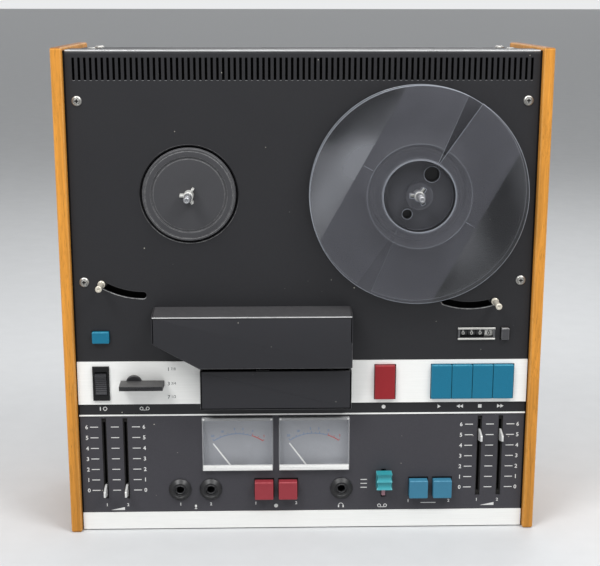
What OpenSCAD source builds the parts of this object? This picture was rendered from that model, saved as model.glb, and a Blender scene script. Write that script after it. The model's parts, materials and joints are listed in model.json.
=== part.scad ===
// Reel-to-reel tape recorder in an open wooden cabinet: two reel drives, a covered head block,
// transport keys, level faders and two level meters.
// Millimetres, with X to the right, Y to the back and Z up. It stands on its two side panels.
// The origin lies on the floor below the middle of the bounding box.

/* [Cabinet] */
// Outer width over both side panels
cabinet_w = 400; // [380:1:440]
// Height of the side panels
cabinet_h = 411; // [400:1:460]
// Depth of the side panels
cabinet_d = 140; // [130:1:200]
// Thickness of a side panel
side_t = 9; // [6:0.5:14]
// Rounding of the upright edges of a side panel
side_edge_r = 1.5; // [0.5:0.5:3]
// How far the deck lies behind the front edges of the side panels
deck_recess = 6; // [2:0.5:12]
// Gap between the front panels and each side panel
side_gap = 1; // [0.3:0.1:2]
// How far the top of the deck lies below the top of the side panels
top_step = 2; // [0:0.5:8]
// Height of the chassis above the floor
floor_gap = 4; // [2:0.5:8]
// Sheet thickness of the chassis
sheet_t = 1.5; // [1:0.1:2.5]
// Width of the chassis lips behind the front panels
front_lip_w = 5; // [3:0.5:7]
// Width of the chassis lips in front of the rear cover
rear_lip_w = 14; // [12:0.5:20]
// How far the rear cover lies inside the rear edges of the side panels
rear_inset = 12; // [11:0.5:16]
// Thickness of the rear cover
rear_t = 2; // [1:0.1:3]

/* [Front panels] */
// Thickness of the deck and of the control panel
deck_t = 2; // [1.5:0.1:3]
// Outer radius of the bend along the top of the deck
bend_r = 3; // [2:0.5:5]
// Depth of the flange that the deck turns back over the chassis
flange_d = 36; // [20:1:50]
// Height of the lower edge of the base strip
base_strip_z = 1; // [0.5:0.5:3]
// Height of the base strip
base_strip_h = 15; // [10:0.5:18]
// Height of the control panel between the base strip and the divider line
control_h = 87.8; // [86:0.2:100]
// Height of the bright divider line
line_h = 1.2; // [0.8:0.1:2]
// How far the divider line stands proud of the deck
line_proud = 0.6; // [0.2:0.1:1]
// Height of the black band between the divider line and the trim strips
band_h = 9.5; // [6:0.5:14]
// Height of the two trim strips
strip_h = 37.5; // [36:0.5:44]
// Thickness of the trim strips
strip_t = 1.2; // [0.6:0.1:2]
// Inset of the deck screws from the panel edges
deck_screw_inset = 8.8; // [7:0.1:14]
// Drop of the upper deck screws below the top of the deck
deck_screw_drop = 40; // [32:0.5:60]
// Distance between the upper and the lower deck screws
deck_screw_pitch = 148.5; // [120:0.5:170]
// Radius of a screw washer
washer_r = 4.15; // [3:0.05:5]
// Radius of a screw shank
screw_r = 1.7; // [1.2:0.1:2.2]

/* [Vents] */
// Number of vent slots along the top of the deck
vent_count = 81; // [41:2:101]
// Distance from the panel edge to the outermost slot
vent_margin = 7; // [6:0.5:20]
// Width of a vent slot
vent_w = 2.1; // [1:0.1:2.4]
// Height of a vent slot
vent_h = 17.8; // [8:0.2:24]
// Drop of the slots below the top of the deck
vent_drop = 5.9; // [4:0.1:10]

/* [Reel drives] */
// Distance between the two spindles
reel_pitch = 186.4; // [184:0.2:200]
// Height of the spindles above the floor
reel_z = 293.5; // [285:0.5:305]
// Radius of a reel table
table_r = 38.2; // [34:0.2:42]
// Gap between a reel table and the hole in the deck
table_gap = 1.05; // [0.5:0.05:2]
// How far the seat of a reel table stands in front of the deck
seat_out = 3; // [2:0.5:5]
// Depth of a reel table behind the deck face
table_back = 3; // [2:0.5:4]
// Width of the raised seat ring
seat_ring_w = 5.6; // [4:0.2:8]
// Radius of a spindle
spindle_r = 4; // [3:0.1:5]
// How far a spindle stands in front of the deck
spindle_out = 32; // [24:0.5:40]
// Reach of the three spindle fins from the axis
fin_r = 7.2; // [6:0.1:9]
// Thickness of a spindle fin
fin_t = 2; // [1.5:0.1:2.6]
// Length of a spindle fin in front of the seat
fin_len = 9; // [5:0.5:11]
// Direction of the first spindle fin
fin_angle = 57; // [0:1:119]
// Radius of a reel motor
motor_r = 36; // [28:0.5:42]
// Length of a reel motor
motor_len = 53; // [40:1:70]

/* [Tape reel] */
// Diameter of the tape reel
reel_d = 177.8; // [150:0.1:180]
// Width of the tape reel over its flanges
reel_w = 13; // [11:0.5:16]
// Thickness of a reel flange
reel_flange_t = 1.6; // [1:0.1:2]
// Radius of the well in the hub
hub_well_r = 29; // [24:0.5:34]
// Wall of the hub
hub_wall = 1.8; // [1.2:0.1:3]
// Radius of the boss round the spindle
hub_boss_r = 11; // [9.5:0.5:14]
// Direction of the threading slot in the front flange
slot_angle = 61; // [0:1:180]
// Width of the threading slot at the rim
slot_rim_w = 13; // [6:0.5:18]
// Width of the threading slot at the hub
slot_hub_w = 1.6; // [1:0.1:4]

/* [Tension arms] */
// Length of a tension arm from its pivot to its guide
arm_len = 66; // [60:0.5:70]
// Offset of the left arm pivot outwards and downwards from the left spindle
left_pivot = [39.2, 18.3]; // [10:0.1:60]
// Offset of the right arm pivot outwards and downwards from the right spindle
right_pivot = [46.1, 28.3]; // [10:0.1:60]
// Rest angle of the left arm from straight down, outwards
left_arm_rest = 31.5; // [20:0.5:35]
// Travel of the left arm
left_arm_sweep = 31; // [20:0.5:40]
// Rest angle of the right arm from straight down, outwards
right_arm_rest = 18.5; // [10:0.5:25]
// Travel of the right arm
right_arm_sweep = 37; // [20:0.5:40]
// Width of an arm slot in the deck
arm_slot_w = 5.6; // [5:0.1:8]
// Radius of a guide post
post_r = 2; // [1.5:0.1:2.4]
// Radius of the flanges on a guide post
post_flange_r = 3.1; // [2.8:0.1:4]
// How far a guide post stands in front of the deck
post_out = 20; // [16:0.5:24]

/* [Head block] */
// Left edge of the head cover, measured from the middle
cover_left = 124.7; // [110:0.1:130]
// Right edge of both covers, measured from the middle
cover_right = 40; // [36:0.5:44]
// Left edge of the lower cover, measured from the middle
lower_left = 86.3; // [80:0.1:86.4]
// How far the head cover stands in front of the deck
cover_out = 24; // [20:0.5:28]
// How far the lower cover stands in front of the deck
lower_out = 16; // [15.5:0.5:19]
// Wall of both covers
cover_wall = 1.8; // [1:0.1:2]
// Height of the head cover at its front
cover_h = 44; // [38:0.5:48]
// Rise of the head cover towards the deck
cover_rise = 3.2; // [1:0.1:6]
// Height of the slanted cut at the lower left corner of the head cover
cover_cut_h = 21.6; // [15:0.1:26]
// Height of the lower cover
lower_h = 33.5; // [30:0.1:35]
// Height of the tape slot between the two covers
tape_slot_h = 4.6; // [4.2:0.1:7]
// Radius of the capstan
capstan_r = 2.5; // [2:0.1:4]
// Position of the capstan to the right of the middle
capstan_x = 22; // [18:0.5:24]
// Radius of the pinch roller
pinch_r = 11; // [9:0.5:12]
// Gap between the resting pinch roller and the capstan
pinch_gap = 4.2; // [3.5:0.1:6]
// Distance from the pinch arm pivot to the pinch roller, to the left and downwards
pinch_pivot = [32, 6]; // [2:0.5:40]
// Radius of the flywheel
flywheel_r = 42; // [36:0.5:42]
// Distance from the capstan to the capstan motor
motor_pitch = 92; // [88:0.5:100]
// Radius of the capstan motor
capstan_motor_r = 28; // [22:0.5:32]
// Radii of the three steps of the motor pulley, from front to back
pulley_steps = [18, 9, 4.5]; // [3:0.5:24]
// Thickness of the drive belt
belt_t = 1.2; // [0.8:0.1:2]

/* [Keys and buttons] */
// Width of a transport key
key_w = 17.1; // [14:0.1:17.2]
// Distance between neighbouring transport keys
key_pitch = 17.5; // [17.4:0.1:20]
// Height of a key
key_h = 29.8; // [24:0.1:31]
// How far a key stands in front of the deck
key_out = 5; // [4.5:0.1:8]
// Travel of a key, and of every push button
push_travel = 3; // [2:0.1:3.5]
// Distance from the panel edge to the middle of the last transport key
last_key_inset = 20.6; // [18:0.1:30]
// Distance from the panel edge to the middle of the record key
record_inset = 121; // [100:0.5:124]
// Width and height of a selector button
selector_w = 16; // [12:0.1:17]
// How far a selector button stands in front of the panel
selector_out = 7; // [5:0.1:10]
// Distance between the two selector buttons of a pair
selector_pitch = 20.6; // [20.3:0.1:24]
// Position of the record selector pair, left of the middle
rec_pair_x = 23.4; // [22:0.1:26]
// Distance from the inner output fader to the middle of the monitor pair
monitor_gap = 41.7; // [36:0.1:60]
// Height of the selector buttons above the floor
selector_z = 36.8; // [34:0.1:38]
// Width and height of the edit button
edit_size = [14.2, 9.9]; // [8:0.1:20]
// Inset of the edit button from the left panel edge
edit_inset = 20.8; // [14:0.1:40]
// Height of the edit button above the floor
edit_z = 173.4; // [170:0.1:180]
// How far the small buttons stand in front of the deck
small_out = 3.5; // [3.2:0.1:6]

/* [Counter] */
// Inset of the middle of the counter from the right panel edge
counter_inset = 44.2; // [40:0.1:60]
// Height of the counter above the floor
counter_z = 174.7; // [172:0.1:178]
// Width and height of the counter window frame
counter_size = [31.7, 10.7]; // [9:0.1:40]
// Distance between neighbouring digit drums
drum_pitch = 7.2; // [6.8:0.1:7.6]
// Radius of a digit drum
drum_r = 5.2; // [4.4:0.1:5.3]
// Inset of the reset button from the right panel edge
reset_inset = 20.2; // [14:0.1:24]
// Width and height of the reset button
reset_size = [6.6, 10]; // [5:0.1:14]

/* [Power and speed] */
// Inset of the power rocker from the left panel edge
rocker_inset = 19.8; // [14:0.1:26]
// Width and height of the rocker frame
rocker_frame = [14, 29.8]; // [12:0.1:34]
// Width and height of the rocker
rocker_size = [9.4, 18]; // [6:0.1:24]
// Tilt of the rocker to either side
rocker_tilt = 8; // [4:0.5:10]
// Inset of the speed knob axis from the left panel edge
knob_inset = 47.5; // [42:0.1:60]
// Radius of the speed knob hub
knob_hub_r = 6.8; // [5:0.1:8]
// Reach of the knob bar to the left and to the right of the axis
knob_reach = [11.2, 25.6]; // [8:0.1:28]
// Thickness of the knob bar
knob_t = 4.5; // [3:0.1:6]
// How far the speed knob stands in front of the deck
knob_out = 19; // [14:0.5:22]

/* [Faders] */
// Inset of the outer fader slots from the panel edges
fader_inset = 20.4; // [16:0.1:28]
// Distance between the two fader slots of a pair
fader_pitch = 18; // [14:0.1:22]
// Width of a fader slot
fader_slot_w = 4; // [2.6:0.1:4.5]
// Height of the middle of a lever at the zero mark
fader_zero_z = 36.3; // [34:0.1:40]
// Distance between neighbouring fader marks
fader_mark = 9.6; // [8:0.1:9.9]
// Thickness of a fader lever
lever_t = 1.7; // [1:0.1:2.2]
// Height of a fader lever at the panel
lever_h = 10; // [8:0.2:12]
// How far a fader lever stands in front of the panel
lever_out = 11; // [8:0.5:14]
// Distance of the sound lever left of the middle between the headphone socket and the monitor pair
sound_shift = 1.95; // [-4:0.05:4]
// Height of the sound lever in its lower position
sound_z = 45.6; // [44:0.1:48]
// Travel of the sound lever
sound_travel = 7; // [4:0.5:8]
// Width and height of the sound lever
sound_size = [13.8, 14]; // [10:0.1:24]

/* [Meters] */
// Distance between the two meters
meter_pitch = 65.5; // [65.4:0.1:68]
// Middle of the meter pair, left of the middle
meter_pair_x = 23.3; // [22:0.1:25]
// Width and height of a meter window
meter_size = [60.8, 48.4]; // [40:0.1:64]
// Height of the lower edge of the meter windows above the floor
meter_z = 54; // [52:0.1:54]
// How far a meter lens stands in front of the panel
lens_out = 3.5; // [2:0.1:5]
// Depth of a meter case behind the panel
meter_depth = 24; // [18:0.5:27]
// Drop of the needle pivot below the window
needle_drop = 7; // [5:0.5:8]
// Length of a needle
needle_len = 36; // [28:0.5:42]
// Swing of a needle to either side of upright
needle_swing = 36; // [30:1:45]

/* [Sockets] */
// Distance from the middle of the left meter to the nearer microphone socket
mic_gap = 23.55; // [18:0.05:30]
// Distance between the two microphone sockets
mic_pitch = 26.4; // [22:0.1:30]
// Distance from the middle of the right meter to the headphone socket
headphone_gap = 23.75; // [18:0.05:30]
// Height of the jack sockets above the floor
jack_z = 36.4; // [32:0.1:38]
// Radius of a jack nut
jack_nut_r = 9.7; // [8:0.1:10]
// Radius of the jack bore
jack_bore_r = 3.2; // [3:0.05:3.5]
// Depth of the jack bore behind the panel
jack_depth = 24; // [20:0.5:27]
// Position of the first line socket, right of the middle
line_x = 60; // [40:1:90]
// Distance between neighbouring line sockets
line_pitch = 20; // [16:0.5:26]
// Height of the line sockets above the floor
line_z = 70; // [50:1:100]
// Radius of a line socket sleeve
sleeve_r = 4.15; // [4:0.05:4.3]
// Position of the mains inlet bush, left of the middle
inlet_x = 150; // [100:1:165]
// Radius of the bore of the mains inlet bush
inlet_r = 3.75; // [3:0.05:4.5]

/* [Clearances] */
// Radial clearance of a running shaft
run_clear = 0.05; // [0.02:0.01:0.1]
// Clearance of a sliding piece in its guide
slide_clear = 0.25; // [0.15:0.05:0.4]
// Clearance between a moving piece and the panel around it
panel_clear = 0.4; // [0.3:0.05:0.6]

/* [Hidden] */
$fn = 72;

// Cut overshoot that keeps cutting faces apart from the faces they cut
over = 1;

// Cabinet planes
half_w = cabinet_w / 2;
inner_half = half_w - side_t;
panel_half = inner_half - side_gap;
front_y = (spindle_out - deck_recess - cabinet_d) / 2;
cabinet_back = front_y + cabinet_d;
deck_y = front_y + deck_recess;
panel_back = deck_y + deck_t;
cover_face = cabinet_back - rear_inset;
cover_in = cover_face - rear_t;
deck_top = cabinet_h - top_step;
chassis_top = deck_top - deck_t;
chassis_floor = floor_gap + sheet_t;

// Places in front of the deck face and behind it
function out(d) = deck_y - d;
function back(d) = deck_y + d;

// Heights of the front panels
control_z = base_strip_z + base_strip_h;
line_z0 = control_z + control_h;
deck_z = line_z0 + line_h;
strip_z = deck_z + band_h;
strip_top = strip_z + strip_h;
key_z = strip_z + strip_h / 2;

// Plate that carries the tape drive, behind the deck
plate_gap = 14;
plate_t = 3;
plate_y = back(plate_gap);
plate_back = plate_y + plate_t;
plate_z = deck_z + 3;

// Reel drives
left_reel = [-reel_pitch / 2, reel_z];
right_reel = [reel_pitch / 2, reel_z];
reel_seat = seat_out + 0.2;
reel_bore_r = spindle_r + 0.15;
fin_slot_clear = 0.4;
table_face = seat_out - 0.6;
motor_back = plate_gap + plate_t + motor_len;
tape_out = reel_seat + reel_w / 2;

// Tension arms: pivot places and the guide place at an angle from straight down
left_arm = left_reel + [-left_pivot[0], -left_pivot[1]];
right_arm = right_reel + [right_pivot[0], -right_pivot[1]];
function arm_end(pivot, angle) = pivot + arm_len * [sin(angle), -cos(angle)];
arm_post_r = 2.5;
arm_front = 4.5;
arm_t = 2;

// Head block
lower_z = strip_z - 0.6;
lower_top = lower_z + lower_h;
cover_z = lower_top + tape_slot_h;
cover_top = cover_z + cover_h;
tape_z = lower_top + tape_slot_h / 2;
capstan = [capstan_x, tape_z + capstan_r];
roller = [capstan_x, capstan[1] - capstan_r - pinch_gap - pinch_r];
pinch_axis = roller + [-pinch_pivot[0], -pinch_pivot[1]];
pinch_post_r = 3;
pinch_front = 3;
roller_axle_r = 2;
head_plate_t = 4;
head_opening = 6;
head_w = 15;
head_h = 20;
erase_w = 11;
erase_h = 17;
bias_h = 15;
erase_gap = 80;
record_gap = 56;
play_gap = 30;
tape_clear = 2;
strip_gap = 0.7;
head_face = tape_z + 0.5;
head_out = tape_out + 4.5;
bearing_r = 8;
bearing_back = plate_gap + plate_t + 21;
flywheel_y = bearing_back + 2.5;
flywheel_t = 13.5;
flywheel_rim = 6;
flywheel_hub = [6, 4];
drive_motor = capstan + [-motor_pitch, 0];
pulley_y = flywheel_y;
pulley_step_t = 4.4;
belt_y = pulley_y + pulley_step_t + 0.5;
belt_w = pulley_step_t - 1;
belt_clear = 0.3;
drive_shaft_r = 2.5;
pulley_shaft_gap = 6;

// Rows of faders
fader_outer = panel_half - fader_inset;
fader_inner = fader_outer - fader_pitch;

// Keys and buttons
last_key_x = panel_half - last_key_inset;
key_x = [for (i = [3:-1:0]) last_key_x - i * key_pitch];
record_x = panel_half - record_inset;
rec_x = [for (s = [-1, 1]) -rec_pair_x + s * selector_pitch / 2];
monitor_mid = fader_inner - monitor_gap;
monitor_x = [for (s = [-1, 1]) monitor_mid + s * selector_pitch / 2];
edit_x = edit_inset - panel_half;
counter_x = panel_half - counter_inset;
reset_x = panel_half - reset_inset;
cap_back = deck_t + 1;
stem_w = 5;
stem_back = cap_back + 7;
block_wall = 1.6;
block_front = cap_back + push_travel + 0.6;
cap_round = 1.2;

// Counter
drum_w = drum_pitch - 0.6;
drum_y = back(deck_t + 0.4 + drum_r);
drum_axle_r = 1.5;
drum_x = [for (i = [-1.5:1:1.5]) counter_x + i * drum_pitch];
counter_bar = 1.6;
counter_rim = 1;
counter_proud = 1;

// Power rocker and speed knob
rocker_x = rocker_inset - panel_half;
rocker_hole = [rocker_size[0] + 2 * panel_clear, rocker_size[1] + 2.6];
rocker_pin_r = 1.2;
rocker_frame_out = strip_t + 1.6;
knob = [knob_inset - panel_half, key_z + 0.6];
knob_shaft_r = 3;
knob_back = 12;
knob_hub_h = 3;
knob_foot = strip_t + 0.4;
knob_switch_r = 12;

// Faders
fader_travel = 6 * fader_mark;
output_mark = 5;
fader_end_gap = 2.8;
fader_slot_z = fader_zero_z - lever_h / 2 - fader_end_gap;
fader_slot_top = fader_zero_z + fader_travel + lever_h / 2 + fader_end_gap;
tab_half = 3;
tab_back = 11;
track_w = 9;
track_wall = 2;
track_back = tab_back + 3;

// Meters
meter_x = [for (s = [-1, 1]) -meter_pair_x + s * meter_pitch / 2];
meter_mid_z = meter_z + meter_size[1] / 2;
meter_rim = 2;
meter_top_rim = 1.4;
lens_wall = 1.6;
lens_gap = 0.2;
dial_back = deck_t + 7;
needle_z = meter_z - needle_drop;
tongue_w = 20;
tongue_z = needle_z - 5;
needle_pin_r = 0.8;
needle_front = deck_t + 2.4;
needle_t = 0.8;

// Sockets
mic_x = meter_x[0] - mic_gap;
headphone_x = meter_x[1] + headphone_gap;
jack_x = [mic_x - mic_pitch, mic_x, headphone_x];
jack_body_r = jack_nut_r - 3.5;
jack_nut_h = 3.6;
jack_tail = 2;

// Sound lever
sound_x = (headphone_x + monitor_mid) / 2 - sound_shift;
sound_stem = [3.2, 15.8];
sound_stem_drop = 15.7;
sound_slot_end = 1.9;
sound_out = 11;
sound_foot = 1.4;
sound_body_half = 6;
sound_stem_z = sound_z - sound_stem_drop + sound_stem[1] / 2;
sound_low = sound_z - sound_stem_drop - sound_slot_end;
sound_high = sound_stem_z + sound_stem[1] / 2 + sound_travel + 1;

// Transformer and boards
core_w = 72;
core_d = 46;
core_h = 60;
core_yoke = 10;
core_inset = 48;
core_back = 46;
coil_w = 14;
coil_offset = 20;
coil_bulge = 8;
board_t = 1.6;
board_h = 88;
board_left = 60;
board_inset = 14;
board_y = [back(36), back(78)];
cap_pitch = 32;
cap_len = 20;
cap_r = 6;
sink_pitch = 42;
sink_w = 16;
sink_h = 6;
sink_len = 9;

// Rear
line_sockets = [for (i = [0:3]) line_x + i * line_pitch];
line_tail_r = 3.5;
inlet_z = line_z;
inlet_body_r = 7;
rear_lip_mid = inner_half - rear_lip_w / 2 - sheet_t / 2;
rear_screws = [for (s = [-1, 1], z = [floor_gap + 16, (floor_gap + chassis_top) / 2, chassis_top - 16])
               [s * rear_lip_mid, z]];
top_screw_inset = 15;
top_screw_y = [front_y + 62, front_y + 111];
top_screw_len = 6;
pan_h = 2.2;
cup_h = 1.4;
cup_step = 0.6;
cup_slope = 0.9;
drive_r = 1.2;
drive_floor = 0.3;
deck_screws = [for (s = [-1, 1], i = [0, 1])
               [s * (panel_half - deck_screw_inset), deck_top - deck_screw_drop - i * deck_screw_pitch]];

// Box between two opposite corners
module block(a, b) {
    translate(a) cube(b - a);
}

// Box over an x range and a z range, from y0 to y1
module panel_block(x0, x1, z0, z1, y0, y1) {
    block([x0, y0, z0], [x1, y1, z1]);
}

// Box of a given width and height round a middle point, from y0 to y1
module box_at(x, z, size, y0, y1) {
    panel_block(x - size[0] / 2, x + size[0] / 2, z - size[1] / 2, z + size[1] / 2, y0, y1);
}

// Outline drawn in x and z, made solid from y0 to y1
module slab(y0, y1) {
    translate([0, y1, 0]) rotate([90, 0, 0]) linear_extrude(y1 - y0) children();
}

// Outline drawn in y and z, made solid from x0 to x1
module beam(x0, x1) {
    translate([x0, 0, 0]) rotate([90, 0, 90]) linear_extrude(x1 - x0) children();
}

// Round rod along Y
module rod(at, y0, y1, r) {
    translate([at[0], y1, at[1]]) rotate([90, 0, 0]) cylinder(h = y1 - y0, r = r);
}

// Round rod along X
module cross_rod(x0, x1, y, z, r) {
    translate([x0, y, z]) rotate([0, 90, 0]) cylinder(h = x1 - x0, r = r);
}

// Turned piece on an axis along Y: outline points are radius and distance in front of the deck face
module turned(at, points) {
    translate([at[0], deck_y, at[1]]) rotate([90, 0, 0]) rotate_extrude() polygon(points);
}

// Points along an arc, and the outline of a rectangle with rounded corners
function arc(centre, r, a0, a1, steps) =
    [for (i = [0:steps]) let (a = a0 + (a1 - a0) * i / steps) centre + r * [cos(a), sin(a)]];
function round_rect(w, h, r) =
    [for (q = [0:3]) let (sx = q == 0 || q == 3 ? 1 : -1, sz = q < 2 ? 1 : -1)
        each arc([sx * (w / 2 - r), sz * (h / 2 - r)], r, q * 90, q * 90 + 90, 5)];

// Outline of a link with round ends of two radii between two points
function link(a, b, ra, rb, steps) =
    let (d = b - a, dir = atan2(d[1], d[0]), lean = acos((ra - rb) / norm(d)))
    concat(arc(a, ra, dir + lean, dir + 360 - lean, steps), arc(b, rb, dir - lean, dir + lean, steps));

module side_panel(side) {
    translate([side * (half_w - side_t / 2), (front_y + cabinet_back) / 2, 0])
        linear_extrude(cabinet_h) polygon(round_rect(side_t, cabinet_d, side_edge_r));
}

module left_side_panel() {
    color("peru") side_panel(-1);
}

module right_side_panel() {
    color("peru") side_panel(1);
}

// Lips on both sides of the chassis
module chassis_lips(y0, width) {
    for (side = [-1, 1]) {
        edge = side * inner_half;
        panel_block(min(edge, edge - side * width), max(edge, edge - side * width),
                    floor_gap, chassis_top, y0, y0 + sheet_t);
    }
}

module chassis_frame() {
    color("dimgray") difference() {
        union() {
            difference() {
                panel_block(-inner_half, inner_half, floor_gap, chassis_top, panel_back, cover_in);
                panel_block(-inner_half + sheet_t, inner_half - sheet_t, chassis_floor, chassis_top - sheet_t,
                            panel_back - over, cover_in + over);
            }
            chassis_lips(panel_back, front_lip_w);
            chassis_lips(cover_in - sheet_t, rear_lip_w);
            panel_block(-inner_half, inner_half, floor_gap, control_z + front_lip_w,
                        panel_back, panel_back + sheet_t);
        }
        for (at = rear_screws) rod(at, cover_in - sheet_t - over, cover_in + over, screw_r + run_clear);
        for (side = [-1, 1], y = top_screw_y)
            translate([side * (inner_half - top_screw_inset), y, chassis_top - sheet_t - over])
                cylinder(h = sheet_t + 2 * over, r = screw_r + run_clear);
    }
}

// Rear cover with two rows of cooling slots and holes for the sockets
module rear_cover() {
    slots = 24;
    slot_pitch = 13;
    slot_size = [4, 52];
    row_drops = [60, 200];
    color("black") difference() {
        panel_block(-inner_half, inner_half, floor_gap, chassis_top, cover_in, cover_face);
        for (i = [0:slots - 1], drop = row_drops)
            box_at((i - (slots - 1) / 2) * slot_pitch, chassis_top - drop, slot_size,
                   cover_in - over, cover_face + over);
        for (x = line_sockets) rod([x, line_z], cover_in - over, cover_face + over, line_tail_r + run_clear);
        rod([-inlet_x, inlet_z], cover_in - over, cover_face + over, inlet_body_r + run_clear);
        for (at = rear_screws) rod(at, cover_in - over, cover_face + over, screw_r + run_clear);
    }
}

// Curved slot that a guide post runs in
module arm_slot(pivot, a0, a1) {
    start = min(a0, a1) - 90;
    end = max(a0, a1) - 90;
    half = arm_slot_w / 2;
    slab(deck_y - over, panel_back + over) polygon(concat(
        arc(pivot, arm_len + half, start, end, 24),
        arc(pivot + arm_len * [cos(end), sin(end)], half, end, end + 180, 10),
        arc(pivot, arm_len - half, end, start, 24),
        arc(pivot + arm_len * [cos(start), sin(start)], half, start + 180, start + 360, 10)));
}

// Openings that the keys, the rocker and the knob need in the deck and in the trim strips
module strip_openings(y0, y1) {
    panel_block(key_x[0] - key_w / 2 - panel_clear, key_x[3] + key_w / 2 + panel_clear,
                key_z - key_h / 2 - panel_clear, key_z + key_h / 2 + panel_clear, y0, y1);
    box_at(record_x, key_z, [key_w + 2 * panel_clear, key_h + 2 * panel_clear], y0, y1);
    box_at(rocker_x, key_z, rocker_hole + 2 * (block_wall + lens_gap) * [1, 1], y0, y1);
    rod(knob, y0, y1, knob_shaft_r + panel_clear);
}

module deck_plate() {
    reel_hole_r = table_r + table_gap;
    bevel = 1.2;
    profile = concat([[deck_y, deck_z]],
        arc([deck_y + bend_r, deck_top - bend_r], bend_r, 180, 90, 6),
        [[deck_y + flange_d, deck_top], [deck_y + flange_d, deck_top - deck_t],
         [panel_back, deck_top - deck_t], [panel_back, deck_z]]);
    vent_half = panel_half - vent_margin;
    y0 = deck_y - over;
    y1 = panel_back + over;
    color("darkslategray") difference() {
        beam(-panel_half, panel_half) polygon(profile);
        for (i = [0:vent_count - 1])
            box_at(-vent_half + 2 * vent_half * i / (vent_count - 1), deck_top - vent_drop - vent_h / 2,
                   [vent_w, vent_h], y0, y1);
        for (at = [left_reel, right_reel]) {
            rod(at, y0, y1, reel_hole_r);
            translate([at[0], deck_y + bevel, at[1]]) rotate([90, 0, 0])
                cylinder(h = bevel + over, r1 = reel_hole_r, r2 = reel_hole_r + bevel + over);
        }
        arm_slot(left_arm, -left_arm_rest, left_arm_sweep - left_arm_rest);
        arm_slot(right_arm, right_arm_rest, right_arm_rest - right_arm_sweep);
        panel_block(-lower_left + head_opening, cover_right - cover_wall - strip_gap,
                    lower_z + head_opening - 2, cover_top - head_opening, y0, y1);
        strip_openings(y0, y1);
        box_at(edit_x, edit_z, edit_size + 2 * [panel_clear, panel_clear], y0, y1);
        box_at(reset_x, counter_z, reset_size + 2 * [panel_clear, panel_clear], y0, y1);
        box_at(counter_x, counter_z, counter_size - 2 * [counter_rim, counter_rim], y0, y1);
        for (at = deck_screws) rod(at, y0, y1, screw_r + run_clear);
    }
}

module control_panel() {
    y0 = deck_y - over;
    y1 = panel_back + over;
    color("dimgray") difference() {
        panel_block(-panel_half, panel_half, control_z, line_z0, deck_y, panel_back);
        for (x = [-fader_outer, -fader_inner, fader_inner, fader_outer])
            panel_block(x - fader_slot_w / 2, x + fader_slot_w / 2, fader_slot_z, fader_slot_top, y0, y1);
        for (x = meter_x) box_at(x, meter_mid_z, meter_size, y0, y1);
        for (x = jack_x) rod([x, jack_z], y0, y1, jack_body_r + slide_clear);
        for (x = concat(rec_x, monitor_x))
            box_at(x, selector_z, [selector_w + 2 * panel_clear, selector_w + 2 * panel_clear], y0, y1);
        panel_block(sound_x - sound_stem[0] / 2 - panel_clear, sound_x + sound_stem[0] / 2 + panel_clear,
                    sound_low, sound_high, y0, y1);
    }
}

// Two strips beside the head block, the base strip and the divider line
module trim_strips() {
    color("gainsboro") {
        difference() {
            union() {
                panel_block(-panel_half, -lower_left - strip_gap, strip_z, strip_top, out(strip_t), deck_y);
                panel_block(cover_right + strip_gap, panel_half, strip_z, strip_top, out(strip_t), deck_y);
            }
            strip_openings(out(strip_t) - over, deck_y + over);
        }
        panel_block(-panel_half, panel_half, base_strip_z, control_z, out(strip_t), panel_back);
        panel_block(-panel_half, panel_half, line_z0, deck_z, out(line_proud), panel_back);
    }
}

// Screw along Y with a cup washer: the head faces the front for side -1 and the back for side 1
module screw(at, face, side, len) {
    translate([at[0], face, at[1]]) rotate([-side * 90, 0, 0]) rotate_extrude() polygon([
        [0, -len], [screw_r, -len], [screw_r, 0], [washer_r, 0], [washer_r - cup_step, cup_h - cup_step],
        [washer_r - cup_step - cup_slope, cup_h], [drive_r, cup_h], [drive_r, drive_floor],
        [0, drive_floor]]);
}

module case_screws() {
    color("silver") {
        for (at = deck_screws) screw(at, deck_y, -1, plate_gap - plate_t);
        for (at = rear_screws) screw(at, cover_face, 1, rear_t + top_screw_len);
        for (side = [-1, 1], y = top_screw_y)
            translate([side * (inner_half - top_screw_inset), y, chassis_top]) rotate_extrude() polygon([
                [0, -top_screw_len], [screw_r, -top_screw_len], [screw_r, 0], [washer_r, 0],
                [washer_r - cup_step, pan_h - cup_step], [washer_r - cup_step - cup_slope, pan_h],
                [drive_r, pan_h], [drive_r, pan_h / 2], [0, pan_h / 2]]);
    }
}

// Plate that carries the motors, the arm pivots and the capstan bearing
module transport_plate() {
    color("slategray") difference() {
        union() {
            panel_block(-inner_half + sheet_t, inner_half - sheet_t, plate_z, chassis_top - sheet_t,
                        plate_y, plate_back);
            for (at = deck_screws) rod(at, panel_back, plate_y + over, screw_r + 2.3);
            for (at = [left_arm, right_arm]) rod(at, back(arm_front - 0.5), plate_y + over, arm_post_r);
            rod(capstan, plate_back - over, back(bearing_back), bearing_r);
        }
        for (at = deck_screws) rod(at, panel_back - over, plate_back + over, screw_r + run_clear);
        for (at = [left_reel, right_reel]) rod(at, plate_y - over, plate_back + over, spindle_r + 0.6);
        rod(capstan, plate_y - over, back(bearing_back) + over, capstan_r + run_clear);
    }
}

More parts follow.
